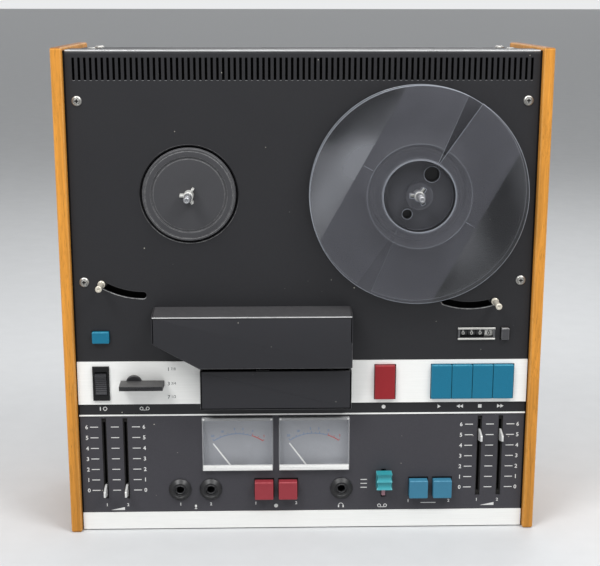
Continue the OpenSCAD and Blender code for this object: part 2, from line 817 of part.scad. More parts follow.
// Plate behind the head opening, with its spacers, the pinch pivot and two fixed tape guides
module head_plate() {
    plate_front = panel_back;
    head_back = plate_front + head_plate_t;
    guide_r = 2.2;
    guide_flange_r = 3.4;
    guide_flange_t = 1.2;
    tape_half = 3.4;
    guide_z = tape_z + 1 + guide_r;
    guides = [[-lower_left + 11, guide_z], [capstan_x + 11, guide_z]];
    spacer_r = 3;
    color("lightsteelblue") difference() {
        union() {
            panel_block(-lower_left, cover_right, lower_z, cover_top - 2, plate_front, head_back);
            for (x = [-lower_left + 2 * spacer_r, cover_right - 2 * spacer_r],
                 z = [lower_z + 2 * spacer_r, cover_top - 2 - 2 * spacer_r])
                rod([x, z], head_back - over, plate_y, spacer_r);
            rod(pinch_axis, out(pinch_front + 0.4), head_back - over, pinch_post_r);
            for (at = guides) {
                rod(at, out(head_out), head_back - over, guide_r);
                for (y = [tape_out - tape_half - guide_flange_t, tape_out + tape_half])
                    rod(at, out(y + guide_flange_t), out(y), guide_flange_r);
            }
        }
        rod(capstan, plate_front - over, head_back + over, capstan_r + 1.5);
    }
}

// One head with a curved face turned down to the tape
module head(x, w, h) {
    sag = 3;
    r = (w * w / 4 + sag * sag) / (2 * sag);
    half_angle = asin(w / 2 / r);
    slab(out(head_out), panel_back) polygon(concat(
        arc([x, head_face + r], r, 270 - half_angle, 270 + half_angle, 10),
        [[x + w / 2, head_face + h], [x - w / 2, head_face + h]]));
}

// Erase, record and playback heads, and the bias head across the tape from the record head
module tape_heads() {
    erase_x = capstan_x - erase_gap;
    record_head_x = capstan_x - record_gap;
    color("silver") {
        head(erase_x, erase_w, erase_h);
        head(record_head_x, head_w, head_h);
        head(capstan_x - play_gap, head_w, head_h);
        box_at(record_head_x, tape_z - tape_clear - bias_h / 2, [erase_w, bias_h], out(head_out), panel_back);
    }
}

module motor_can(at, r, shaft_r, len) {
    front = -(plate_gap + plate_t);
    step = 4;
    turned(at, [[shaft_r + run_clear, front], [r - step, front], [r - step, front - step], [r, front - step],
                [r, front - len + step], [r - step, front - len], [shaft_r + run_clear, front - len]]);
}

module reel_motors() {
    color("gray") for (at = [left_reel, right_reel]) motor_can(at, motor_r, spindle_r, motor_len);
}

module capstan_motor() {
    color("gray") motor_can(drive_motor, capstan_motor_r, drive_shaft_r, pulley_y - plate_gap - plate_t - 2);
}

// Outline of a belt round the flywheel and one pulley step, grown outwards by a given distance
function belt_outline(grow) =
    link(capstan, drive_motor, flywheel_r + belt_clear + grow, pulley_steps[1] + belt_clear + grow, 60);

module drive_belt() {
    color("black") slab(back(belt_y), back(belt_y + belt_w)) difference() {
        polygon(belt_outline(belt_t));
        polygon(belt_outline(0));
    }
}

// Cover below the tape slot: a front with three walls, open to the tape above
module lower_cover() {
    color("darkslategray") difference() {
        panel_block(-lower_left, cover_right, lower_z, lower_top, out(lower_out), deck_y);
        panel_block(-lower_left + cover_wall, cover_right - cover_wall,
                    lower_z + cover_wall, lower_top + over, out(lower_out - cover_wall), deck_y + over);
    }
}

// Cover over the heads: a front cut off at its lower left corner, a slanted top and two short sides
module head_cover() {
    front = out(cover_out);
    slope_top = cover_top + cover_rise;
    exit_z = cover_z + cover_cut_h;
    side = [[front, exit_z], [deck_y, exit_z], [deck_y, slope_top], [front, cover_top]];
    color("darkslategray") {
        slab(front, front + cover_wall) polygon([
            [-cover_left, exit_z], [-lower_left, cover_z], [cover_right, cover_z],
            [cover_right, cover_top], [-cover_left, cover_top]]);
        beam(-cover_left, cover_right) polygon([
            [front, cover_top - cover_wall], [front, cover_top], [deck_y, slope_top],
            [deck_y, slope_top - cover_wall]]);
        beam(-cover_left, -cover_left + cover_wall) polygon(side);
        beam(cover_right - cover_wall, cover_right) polygon(side);
    }
}

// Meter body with a dial floor and a narrow tongue round the needle pivot
module meter_case(x) {
    half = meter_size[0] / 2;
    top = meter_z + meter_size[1];
    difference() {
        union() {
            panel_block(x - half - meter_rim, x + half + meter_rim,
                        meter_z - meter_rim, top + meter_top_rim, panel_back, back(meter_depth));
            panel_block(x - tongue_w / 2, x + tongue_w / 2, tongue_z - lens_wall, meter_z,
                        panel_back, back(meter_depth));
        }
        panel_block(x - half + lens_wall / 2, x + half - lens_wall / 2,
                    meter_z + lens_wall / 2, top - lens_wall / 2, panel_back - over, back(dial_back));
        panel_block(x - tongue_w / 2 + lens_wall, x + tongue_w / 2 - lens_wall, tongue_z, meter_mid_z,
                    panel_back - over, back(dial_back));
        rod([x, needle_z], back(dial_back) - over, back(dial_back + 5), needle_pin_r + run_clear);
    }
}

module meter_cases() {
    color("darkgray") for (x = meter_x) meter_case(x);
}

module meter_lenses() {
    size = meter_size - 2 * [lens_gap, lens_gap];
    color("lightgray") for (x = meter_x) difference() {
        box_at(x, meter_mid_z, size, out(lens_out), panel_back);
        box_at(x, meter_mid_z, size - 2 * [lens_wall, lens_wall],
               out(lens_out - lens_wall), panel_back + over);
    }
}

module jack_sockets() {
    bevel = 1.6;
    end = -jack_depth - jack_tail;
    color("black") for (x = jack_x) turned([x, jack_z], [
        [0, end], [jack_body_r, end], [jack_body_r, 0], [jack_nut_r, 0], [jack_nut_r, jack_nut_h / 2],
        [jack_nut_r - bevel, jack_nut_h], [jack_bore_r + bevel, jack_nut_h], [jack_bore_r, jack_nut_h - 1],
        [jack_bore_r, -jack_depth], [0, -jack_depth]]);
}

// Window frame in front of the deck and the drum housing with its axle behind it
module counter_frame() {
    hole = counter_size - 2 * [counter_rim + slide_clear, counter_rim + slide_clear];
    drum_span = 4 * drum_pitch;
    housing_back = plate_gap;
    housing_wall = 0.8;
    color("silver") {
        difference() {
            union() {
                box_at(counter_x, counter_z, counter_size, out(counter_proud), deck_y);
                box_at(counter_x, counter_z, hole, deck_y - 0.5, panel_back);
            }
            box_at(counter_x, counter_z, [hole[0] - 1.2, counter_size[1] - 2 * counter_bar - 0.6],
                   out(counter_proud) - over, panel_back + over);
        }
        difference() {
            box_at(counter_x, counter_z, [drum_span + 3, 2 * drum_r + 3 * housing_wall],
                   panel_back, back(housing_back));
            box_at(counter_x, counter_z, [drum_span, 2 * drum_r + housing_wall],
                   panel_back - over, back(housing_back - housing_wall));
        }
        cross_rod(counter_x - drum_span / 2 - 0.5, counter_x + drum_span / 2 + 0.5,
                  drum_y, counter_z, drum_axle_r);
    }
}

// Slide potentiometer bodies, each with a groove for its lever
module fader_tracks() {
    color("dimgray") for (x = [-fader_outer, -fader_inner, fader_inner, fader_outer]) difference() {
        panel_block(x - track_w / 2, x + track_w / 2, fader_slot_z - track_wall, fader_slot_top,
                    panel_back, back(track_back));
        panel_block(x - lever_t / 2 - slide_clear, x + lever_t / 2 + slide_clear,
                    fader_zero_z - tab_half - 1, fader_zero_z + fader_travel + tab_half + 1,
                    panel_back - over, back(tab_back + 1));
    }
}

// Body behind a row of push buttons, with a pocket for the caps and a guide for each stem
module push_block(xs, z, size) {
    pocket = size + 2 * [panel_clear, panel_clear];
    x0 = xs[0] - pocket[0] / 2;
    x1 = xs[len(xs) - 1] + pocket[0] / 2;
    half = pocket[1] / 2;
    difference() {
        panel_block(x0 - block_wall, x1 + block_wall, z - half - block_wall, z + half + block_wall,
                    panel_back, plate_y);
        panel_block(x0, x1, z - half, z + half, panel_back - over, back(block_front));
        for (x = xs)
            box_at(x, z, [stem_w + 2 * slide_clear, stem_w + 2 * slide_clear], panel_back, plate_y + over);
    }
}

// Frame of the power rocker: a face frame, a collar through the deck and a bore for the rocker pin
module rocker_body() {
    collar = rocker_hole + 2 * [block_wall, block_wall];
    difference() {
        union() {
            box_at(rocker_x, key_z, rocker_frame, out(rocker_frame_out), out(strip_t));
            box_at(rocker_x, key_z, collar, out(strip_t) - 0.5, plate_y);
        }
        box_at(rocker_x, key_z, rocker_hole, out(rocker_frame_out) - over, plate_y - 2);
        cross_rod(rocker_x - rocker_hole[0] / 2 - 1, rocker_x + rocker_hole[0] / 2 + 1, deck_y, key_z,
                  rocker_pin_r + run_clear);
    }
}

// Rotary switch behind the speed knob, with the bore for the knob shaft
module knob_body() {
    difference() {
        rod(knob, panel_back, plate_y, knob_switch_r);
        rod(knob, panel_back - over, plate_y + over, knob_shaft_r + run_clear);
    }
}

// Slide switch behind the sound lever
module sound_body() {
    half = sound_stem[0] / 2 + slide_clear;
    difference() {
        panel_block(sound_x - sound_body_half, sound_x + sound_body_half, sound_low - 2, sound_high + 2,
                    panel_back, plate_y);
        panel_block(sound_x - half, sound_x + half, sound_low, sound_high, panel_back - over, plate_y - 2);
    }
}

module switch_blocks() {
    color("black") {
        push_block(key_x, key_z, [key_w, key_h]);
        push_block([record_x], key_z, [key_w, key_h]);
        for (x = concat(rec_x, monitor_x)) push_block([x], selector_z, [selector_w, selector_w]);
        push_block([edit_x], edit_z, edit_size);
        push_block([reset_x], counter_z, reset_size);
        rocker_body();
        knob_body();
        sound_body();
    }
}

// Laminated core round two coil windows, standing on the chassis floor
module mains_transformer() {
    size = [core_w, core_d, core_h];
    at = [-inner_half + core_inset, back(core_back)];
    window = [coil_w, core_h - 2 * core_yoke];
    color("dimgray") {
        difference() {
            panel_block(at[0] - size[0] / 2, at[0] + size[0] / 2, chassis_floor, chassis_floor + size[2],
                        at[1], at[1] + size[1]);
            for (side = [-1, 1])
                box_at(at[0] + side * coil_offset, chassis_floor + size[2] / 2, window,
                       at[1] - over, at[1] + size[1] + over);
        }
        for (side = [-1, 1])
            box_at(at[0] + side * coil_offset, chassis_floor + size[2] / 2, window - [lens_gap, lens_gap],
                   at[1] - coil_bulge, at[1] + size[1] + coil_bulge);
    }
}

// Amplifier boards standing on the chassis floor, with their capacitors and heat sinks
module circuit_boards() {
    x0 = -board_left;
    x1 = panel_half - board_inset;
    sunk = 0.2;
    color("darkgreen") for (y = board_y) {
        panel_block(x0, x1, chassis_floor, chassis_floor + board_h, y, y + board_t);
        for (i = [0:6])
            rod([x0 + (i + 0.7) * cap_pitch, chassis_floor + 4 * cap_r + (i % 2) * 6 * cap_r],
                y + board_t - sunk, y + cap_len, cap_r + (i % 3) * 1.5);
        for (i = [0:4])
            box_at(x0 + (i + 1) * sink_pitch, chassis_floor + board_h / 2, [sink_w, sink_h],
                   y + board_t - sunk, y + sink_len);
    }
}

module line_socket(x) {
    translate([x, cover_face, line_z]) rotate([-90, 0, 0]) rotate_extrude() polygon([
        [0, -10], [line_tail_r, -10], [line_tail_r, 0], [sleeve_r + 2, 0], [sleeve_r + 2, 1.6],
        [sleeve_r, 1.6], [sleeve_r, rear_inset - 2], [1.6, rear_inset - 2], [1.6, 1], [0, 1]]);
}

// Four line sockets and the bush that the mains lead would come through
module rear_sockets() {
    color("black") {
        for (x = line_sockets) line_socket(x);
        translate([-inlet_x, cover_face, inlet_z]) rotate([-90, 0, 0]) rotate_extrude() polygon([
            [inlet_r, -8], [inlet_body_r, -8], [inlet_body_r, 0], [inlet_body_r + 2.5, 0],
            [inlet_body_r + 2, 2.4], [inlet_r, 2.4]]);
    }
}

// Disc with a raised seat ring, a groove inside it and a hub on the spindle
module reel_table(at) {
    bore = spindle_r;
    hub_r = 10;
    ring = table_r - 1.2 - seat_ring_w;
    turned(at, [
        [bore, -plate_gap + 2], [hub_r, -plate_gap + 2], [hub_r, -table_back], [table_r - 1, -table_back],
        [table_r, -table_back + 1], [table_r, seat_out - 1.2], [table_r - 1.2, seat_out], [ring, seat_out],
        [ring - 0.8, table_face - 0.8], [ring - 2.2, table_face - 0.8], [ring - 3, table_face],
        [bore, table_face]]);
}

module left_reel_table() {
    color("dimgray") reel_table(left_reel);
}

module right_reel_table() {
    color("dimgray") reel_table(right_reel);
}

// Shaft with three fins for the reel and a grooved tip for a reel cap
module spindle(at) {
    tip_r = spindle_r - 1;
    turned(at, [
        [0, -motor_back + 4], [spindle_r, -motor_back + 4], [spindle_r, spindle_out - 4.5],
        [tip_r - 0.6, spindle_out - 3.8], [tip_r - 0.6, spindle_out - 3], [tip_r, spindle_out - 2.4],
        [tip_r, spindle_out - 0.6], [tip_r - 0.6, spindle_out], [1.2, spindle_out], [1, spindle_out - 0.8],
        [0, spindle_out - 0.8]]);
    for (i = [0:2])
        translate([at[0], 0, at[1]]) rotate([0, -fin_angle - i * 120, 0])
            panel_block(spindle_r / 2, fin_r, -fin_t / 2, fin_t / 2,
                        out(table_face + fin_len), out(table_face));
}

module left_spindle() {
    color("silver") spindle(left_reel);
}

module right_spindle() {
    color("silver") spindle(right_reel);
}

// Threading slot that widens from the hub to the rim
module threading_slot(angle, y0, y1) {
    r0 = hub_well_r + hub_wall;
    r1 = reel_d / 2 + over;
    translate([right_reel[0], 0, right_reel[1]]) rotate([0, -angle, 0]) slab(y0, y1) polygon([
        [r0, -slot_hub_w / 2], [r1, -slot_rim_w / 2], [r1, slot_rim_w / 2], [r0, slot_hub_w / 2]]);
}

// Empty reel: two flanges on a hub with an open well, a web with two holes and a keyed boss
module tape_reel() {
    rear = reel_seat;
    front = reel_seat + reel_w;
    rim = reel_d / 2;
    hub_r = hub_well_r + hub_wall;
    web = [rear + 3, rear + 5];
    boss_front = front - 1.6;
    fin_half = fin_t / 2 + fin_slot_clear;
    holes = [[10.5, 17, 6.3], [-9, -15.5, 4]];
    color("white", 0.6) difference() {
        turned(right_reel, [
            [reel_bore_r, rear], [hub_boss_r, rear], [hub_boss_r, web[0]], [hub_well_r, web[0]],
            [hub_well_r, rear], [rim, rear], [rim, rear + reel_flange_t], [hub_r, rear + reel_flange_t],
            [hub_r, front - reel_flange_t], [rim, front - reel_flange_t], [rim, front], [hub_well_r, front],
            [hub_well_r, web[1]], [hub_boss_r, web[1]], [hub_boss_r, boss_front], [reel_bore_r, boss_front]]);
        threading_slot(slot_angle, out(front) - over, out(front - reel_flange_t) + 0.5);
        threading_slot(slot_angle + 180, out(rear + reel_flange_t) - 0.5, out(rear) + over);
        for (h = holes) rod(right_reel + [h[0], h[1]], out(web[1]) - over, out(web[0]) + over, h[2]);
        for (i = [0:2])
            translate([right_reel[0], 0, right_reel[1]]) rotate([0, -fin_angle - i * 120, 0])
                panel_block(0, fin_r + fin_slot_clear, -fin_half, fin_half,
                            out(front) - over, out(rear) + over);
    }
}

// Capstan shaft with its flywheel
module capstan_flywheel() {
    y0 = -flywheel_y;
    y1 = -flywheel_y - flywheel_t;
    color("silver") turned(capstan, [
        [0, y1 - flywheel_hub[1]], [flywheel_hub[0], y1 - flywheel_hub[1]], [flywheel_hub[0], y1],
        [flywheel_r, y1], [flywheel_r, y0], [flywheel_r - flywheel_rim, y0],
        [flywheel_r - flywheel_rim, y0 - flywheel_rim], [bearing_r, y0 - flywheel_rim],
        [bearing_r, y0], [capstan_r, y0],
        [capstan_r, head_out - 0.5], [capstan_r - 0.5, head_out], [0, head_out]]);
}

// Stepped pulley on the shaft of the capstan motor
module motor_pulley() {
    y = [for (i = [0:3]) -pulley_y - i * pulley_step_t];
    tip = -plate_gap - plate_t - pulley_shaft_gap;
    color("goldenrod") turned(drive_motor, [
        [0, y[3]], [pulley_steps[2], y[3]], [pulley_steps[2], y[2]], [pulley_steps[1], y[2]],
        [pulley_steps[1], y[1]], [pulley_steps[0], y[1]], [pulley_steps[0], y[0]], [drive_shaft_r, y[0]],
        [drive_shaft_r, tip], [0, tip]]);
}

// Lever from the pinch pivot to the roller, with the roller axle
module pinch_arm() {
    y0 = out(pinch_front);
    y1 = back(1);
    color("gray") difference() {
        union() {
            slab(y0, y1) polygon(link(pinch_axis, roller, pinch_post_r + 3, roller_axle_r + 3, 16));
            rod(roller, out(head_out - 1), y1 - 1, roller_axle_r);
        }
        rod(pinch_axis, y0 - over, y1 + over, pinch_post_r + run_clear);
    }
}

module pinch_roller() {
    bore_r = roller_axle_r + run_clear;
    rear = pinch_front + 0.4;
    front = head_out - 1.2;
    color("black") turned(roller, [
        [bore_r, rear], [pinch_r, rear], [pinch_r, front], [bore_r, front]]);
}

// Arm behind the deck with a hub on its pivot and a flanged guide post through the slot
module tension_arm(pivot, angle) {
    end = arm_end(pivot, angle);
    y0 = back(arm_front);
    y1 = y0 + arm_t;
    hub_r = arm_post_r + 2.5;
    foot = -arm_front - arm_t / 2;
    lip = post_r + 0.3;
    flange = [1, 1.4];
    chamfer = 0.4;
    difference() {
        union() {
            slab(y0, y1) polygon(link(pivot, end, hub_r + 1, 2 * post_r, 16));
            rod(pivot, y0 + arm_t / 2, plate_y - slide_clear, hub_r);
        }
        rod(pivot, y0 - over, plate_y + over, arm_post_r + run_clear);
    }
    turned(end, [
        [0, foot], [post_r, foot], [post_r, flange[0]], [post_flange_r, flange[0]],
        [post_flange_r, flange[0] + flange[1]], [lip, flange[0] + flange[1] + chamfer],
        [lip, post_out - flange[1] - 2 * chamfer], [post_flange_r, post_out - flange[1] - chamfer],
        [post_flange_r, post_out - chamfer], [post_flange_r - chamfer, post_out], [0, post_out]]);
}

module left_tension_arm() {
    color("silver") tension_arm(left_arm, -left_arm_rest);
}

module right_tension_arm() {
    color("silver") tension_arm(right_arm, right_arm_rest);
}

// Push button: a cap through the panel and a stem in its guide
module push_button(x, z, size, proud) {
    slab(out(proud), back(cap_back)) translate([x, z]) polygon(round_rect(size[0], size[1], cap_round));
    box_at(x, z, [stem_w, stem_w], back(cap_back) - 0.5, back(stem_back));
}

module record_key() {
    color("firebrick") push_button(record_x, key_z, [key_w, key_h], key_out);
}

module transport_key(i) {
    color("teal") push_button(key_x[i], key_z, [key_w, key_h], key_out);
}

module play_key() {
    transport_key(0);
}

module rewind_key() {
    transport_key(1);
}

module stop_key() {
    transport_key(2);
}

module wind_key() {
    transport_key(3);
}

// Rocker with a hollow front, tilted to its rest side, on a cross pin
module power_rocker() {
    half = rocker_size[1] / 2;
    lip = strip_t + 4;
    hollow = 1.6;
    tail = 4;
    pin_half = rocker_hole[0] / 2 + 0.8;
    color("black") translate([0, deck_y, key_z]) rotate([rocker_tilt, 0, 0]) {
        beam(rocker_x - rocker_size[0] / 2, rocker_x + rocker_size[0] / 2)
            polygon([[-lip, -half], [-lip + hollow, 0], [-lip, half], [1, half], [tail, half / 2],
                     [tail, -half / 2], [1, -half]]);
        cross_rod(rocker_x - pin_half, rocker_x + pin_half, 0, 0, rocker_pin_r);
    }
}

// Bar knob with a round hub and its shaft
module speed_knob() {
    color("dimgray") {
        rod(knob, out(knob_foot + knob_hub_h), out(knob_foot), knob_hub_r);
        panel_block(knob[0] - knob_reach[0], knob[0] + knob_reach[1],
                    knob[1] - knob_t / 2, knob[1] + knob_t / 2, out(knob_out), out(knob_foot + 1));
        rod(knob, out(knob_foot + 1), back(knob_back), knob_shaft_r);
    }
}

// Fader lever: a tapered finger tab in front of the panel and a tab in the track behind it
module fader(x, mark) {
    z = fader_zero_z + mark * fader_mark;
    tip = 2.4;
    color("silver") beam(x - lever_t / 2, x + lever_t / 2) polygon([
        [out(lever_out), z - tip], [out(lever_out), z + tip], [out(1), z + lever_h / 2],
        [panel_back - 0.3, z + lever_h / 2], [panel_back - 0.3, z + tab_half], [back(tab_back), z + tab_half],
        [back(tab_back), z - tab_half], [panel_back - 0.3, z - tab_half], [panel_back - 0.3, z - lever_h / 2],
        [out(1), z - lever_h / 2]]);
}

module left_input_fader() {
    fader(-fader_outer, 0);
}

module right_input_fader() {
    fader(-fader_inner, 0);
}

module left_output_fader() {
    fader(fader_inner, output_mark);
}

module right_output_fader() {
    fader(fader_outer, output_mark);
}

module selector_button(x, tint) {
    color(tint) push_button(x, selector_z, [selector_w, selector_w], selector_out);
}

module left_record_button() {
    selector_button(rec_x[0], "indianred");
}

module right_record_button() {
    selector_button(rec_x[1], "indianred");
}

module source_button() {
    selector_button(monitor_x[0], "steelblue");
}

module tape_button() {
    selector_button(monitor_x[1], "steelblue");
}

// Thumb piece with two waists on a flat stem
module sound_lever() {
    waist = 1.3;
    half = sound_size / 2;
    side = [for (i = [-8:8]) [half[0] - waist * abs(sin(22.5 * i)), half[1] * i / 8]];
    color("lightseagreen") {
        slab(out(sound_out), out(sound_foot)) translate([sound_x, sound_z])
            polygon(concat(side, [for (p = side) -p]));
        box_at(sound_x, sound_stem_z, sound_stem, out(sound_foot + 0.5), plate_y - 2.4);
    }
}

module edit_button() {
    color("teal") push_button(edit_x, edit_z, edit_size, small_out);
}

module counter_reset() {
    color("black") push_button(reset_x, counter_z, reset_size, small_out);
}

module drum(i) {
    color(i == 3 ? "white" : "black") difference() {
        cross_rod(drum_x[i] - drum_w / 2, drum_x[i] + drum_w / 2, drum_y, counter_z, drum_r);
        cross_rod(drum_x[i] - drum_w, drum_x[i] + drum_w, drum_y, counter_z, drum_axle_r + run_clear);
    }
}

module unit_drum() {
    drum(3);
}

module ten_drum() {
    drum(2);
}

module hundred_drum() {
    drum(1);
}

module thousand_drum() {
    drum(0);
}

// Needle on its pivot pin, resting at the left end of its scale
module needle(x) {
    y = back(needle_front + 0.4);
    color("white") {
        rod([x, needle_z], back(needle_front), back(dial_back + 4), needle_pin_r);
        rod([x, needle_z], back(needle_front), back(needle_front + 2), needle_pin_r + 1.4);
        translate([x, 0, needle_z]) rotate([0, -needle_swing, 0])
            panel_block(-needle_t / 2, needle_t / 2, 0, needle_len, y, y + needle_t);
    }
}

module left_needle() {
    needle(meter_x[0]);
}

module right_needle() {
    needle(meter_x[1]);
}

left_side_panel();
right_side_panel();
chassis_frame();
rear_cover();
deck_plate();
control_panel();
trim_strips();
case_screws();
transport_plate();
head_plate();
tape_heads();
reel_motors();
capstan_motor();
drive_belt();
lower_cover();
meter_cases();
meter_lenses();
jack_sockets();
counter_frame();
fader_tracks();
switch_blocks();
mains_transformer();
circuit_boards();
rear_sockets();
left_reel_table();
left_spindle();
right_reel_table();
right_spindle();
tape_reel();
capstan_flywheel();
motor_pulley();
pinch_arm();
pinch_roller();
left_tension_arm();
right_tension_arm();
record_key();
play_key();
rewind_key();
stop_key();
wind_key();
power_rocker();
speed_knob();
left_input_fader();
right_input_fader();
left_output_fader();
right_output_fader();
left_record_button();
right_record_button();
source_button();
tape_button();
sound_lever();
edit_button();
counter_reset();
unit_drum();
ten_drum();
hundred_drum();
thousand_drum();
left_needle();
right_needle();
head_cover();
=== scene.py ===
import json
import logging
import math
from collections.abc import Callable, Sequence
from dataclasses import dataclass, field
from enum import Enum
from functools import reduce

import bmesh
import bpy
import numpy as np
from mathutils import Matrix, Vector
from mathutils.geometry import delaunay_2d_cdt


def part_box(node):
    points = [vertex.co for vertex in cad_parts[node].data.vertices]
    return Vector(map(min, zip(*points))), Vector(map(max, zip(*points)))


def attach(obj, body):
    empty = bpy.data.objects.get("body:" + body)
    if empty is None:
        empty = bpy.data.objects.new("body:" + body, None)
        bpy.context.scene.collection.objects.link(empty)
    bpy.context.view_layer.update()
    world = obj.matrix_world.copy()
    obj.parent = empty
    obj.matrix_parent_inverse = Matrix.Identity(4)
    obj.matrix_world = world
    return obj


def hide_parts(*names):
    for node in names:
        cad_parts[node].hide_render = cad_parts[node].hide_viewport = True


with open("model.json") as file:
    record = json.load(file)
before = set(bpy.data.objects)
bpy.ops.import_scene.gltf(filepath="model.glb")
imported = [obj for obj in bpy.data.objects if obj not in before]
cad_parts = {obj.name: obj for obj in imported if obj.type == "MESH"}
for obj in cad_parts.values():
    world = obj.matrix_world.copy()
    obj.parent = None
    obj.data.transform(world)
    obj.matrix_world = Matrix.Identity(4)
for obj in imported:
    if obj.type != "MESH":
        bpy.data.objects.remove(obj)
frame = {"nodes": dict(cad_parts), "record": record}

log = logging.getLogger("tape_recorder")
Array = np.ndarray
Colour = tuple[float, float, float, float]
Socket = bpy.types.NodeSocket
MM = 0.001
NODE_SLOT = {part["node"]: part["material_slot"] for part in frame["record"]["subparts"]}
NODE_BODY = {node: body for body, nodes in frame["record"]["behaviour"]["bodies"].items() for node in nodes}


def node_box(node: str) -> tuple[Array, Array]:
    """Lowest and highest corner of a CAD node.

    Args:
        node: Name of the CAD node.

    Returns:
        The two corners, in millimetres.
    """
    low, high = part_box(node)
    return np.array(low) / MM, np.array(high) / MM


DECK_Y = float(node_box("control_panel")[0][1])


class Facing(Enum):
    """Two axes that an outline lies in, the axis that its depth runs along, and the depth's sign."""

    FRONT = (0, 2, 1, -1.0)
    BACK = (0, 2, 1, 1.0)
    SIDE = (1, 2, 0, 1.0)
    TOP = (0, 1, 2, 1.0)

    def place(self, outline: Array, depth: Array) -> Array:
        """Points in space from outline points and depths; a FRONT depth counts forwards from the deck face.

        Args:
            outline: Points in the outline plane, with two columns at the end.
            depth: One depth for each point.

        Returns:
            The points in millimetres, with three columns at the end.
        """
        u, v, w, sign = self.value
        points = np.empty(outline.shape[:-1] + (3,))
        points[..., u], points[..., v] = outline[..., 0], outline[..., 1]
        points[..., w] = sign * depth + (DECK_Y if self is Facing.FRONT else 0.0)
        return points


@dataclass
class Shell:
    """Points in millimetres, faces as index arrays, and how much edge tint each point gets: scuffing, and
    painted highlight on some pieces.
    """

    points: Array
    faces: list[Array]
    rub: Array

    def __add__(self, other: "Shell") -> "Shell":
        """Both shells as one.

        Args:
            other: The shell whose points and faces follow this one's.

        Returns:
            The joined shell.
        """
        shift = len(self.points)
        return Shell(np.vstack([self.points, other.points]), self.faces + [f + shift for f in other.faces],
                     np.concatenate([self.rub, other.rub]))


def join(shells: Sequence[Shell]) -> Shell:
    """All shells as one."""
    return reduce(lambda a, b: a + b, shells)


def grid_faces(rows: int, columns: int, wrap_rows: bool = False, wrap_columns: bool = False) -> Array:
    """Four-sided faces of a grid of points that is stored row by row.

    Args:
        rows: Number of rows.
        columns: Number of columns.
        wrap_rows: Whether the last row joins the first.
        wrap_columns: Whether the last column joins the first.

    Returns:
        An index array with four columns.
    """
    r = np.arange(rows if wrap_rows else rows - 1)[:, None]
    c = np.arange(columns if wrap_columns else columns - 1)[None, :]
    r2, c2 = (r + 1) % rows, (c + 1) % columns
    return np.stack(np.broadcast_arrays(r * columns + c, r * columns + c2, r2 * columns + c2,
                                        r2 * columns + c),
                    -1).reshape(-1, 4)


def rectangle(u0: float, u1: float, v0: float, v1: float) -> Array:
    """Corners of a rectangle, counterclockwise."""
    return np.array([[u0, v0], [u1, v0], [u1, v1], [u0, v1]], float)


def circle(u: float, v: float, radius: float, steps: int = 48) -> Array:
    """Points of a circle, counterclockwise: the middle plus radius times each angle's cosine and sine."""
    a = np.linspace(0, 2 * np.pi, steps, endpoint=False)
    return np.stack([u + radius * np.cos(a), v + radius * np.sin(a)], 1)


def arc(u: float, v: float, radius: float, start: float, end: float, steps: int = 24) -> Array:
    """Points of an arc between two angles in degrees."""
    a = np.radians(np.linspace(start, end, steps))
    return np.stack([u + radius * np.cos(a), v + radius * np.sin(a)], 1)


def eased(corners: Sequence[Sequence[float]] | Array, radius: float | Sequence[float], steps: int = 5,
          closed: bool = True) -> Array:
    """A path whose corners are short curves: (1-t)^2 a + 2t(1-t) c + t^2 b, with a and b the given
    distance from corner c along its two sides.

    Args:
        corners: Corner points of the path.
        radius: Distance for every corner, or one for each.
        steps: Points on each curve.
        closed: Whether the last corner joins the first; an open path keeps its two ends.

    Returns:
        Three columns: the two coordinates, and a rub value that is 1 in the middle of each curve.
    """
    c = np.asarray(corners, float)
    r = np.broadcast_to(np.asarray(radius, float), len(c))[:, None]

    def step(towards: Array) -> Array:
        """Points a corner's distance away from it on the line towards another."""
        d = towards - c
        return c + d / np.maximum(np.linalg.norm(d, axis=1, keepdims=True), 1e-9) * r

    a, b = step(np.roll(c, 1, 0)), step(np.roll(c, -1, 0))
    t = np.linspace(0, 1, steps)[None, :, None]
    q = (1 - t) ** 2 * a[:, None] + 2 * t * (1 - t) * c[:, None] + t ** 2 * b[:, None]
    q = np.concatenate([q, np.broadcast_to(4 * t * (1 - t), q.shape[:2] + (1,))], 2)
    if closed:
        return q.reshape(-1, 3)
    ends = np.concatenate([c[[0, -1]], np.zeros((2, 1))], 1)
    return np.vstack([ends[:1], q[1:-1].reshape(-1, 3), ends[1:]])


def through(near: float, far: float, ease: float, draft: float = 0.0, steps: int = 5) -> Array:
    """Profile of a piece with rounded edges at both ends: the inset is ease (1 - sin a) and the depth
    moves by ease (1 - cos a) over a quarter turn.

    Args:
        near: Depth of one end.
        far: Depth of the other end.
        ease: Radius of both rounded edges.
        draft: Extra inset at the far end, from a slanted side.
        steps: Points on each rounded edge.

    Returns:
        Rows of inset, depth and rub.
    """
    a = np.linspace(0, np.pi / 2, steps)
    sign = math.copysign(1.0, far - near)
    start = np.stack([ease * (1 - np.sin(a)), near + sign * ease * (1 - np.cos(a)), np.sin(2 * a)], 1)
    end = np.stack([draft + ease * (1 - np.sin(a)), far - sign * ease * (1 - np.cos(a)), np.sin(2 * a)],
                   1)[::-1]
    return np.vstack([start, end])


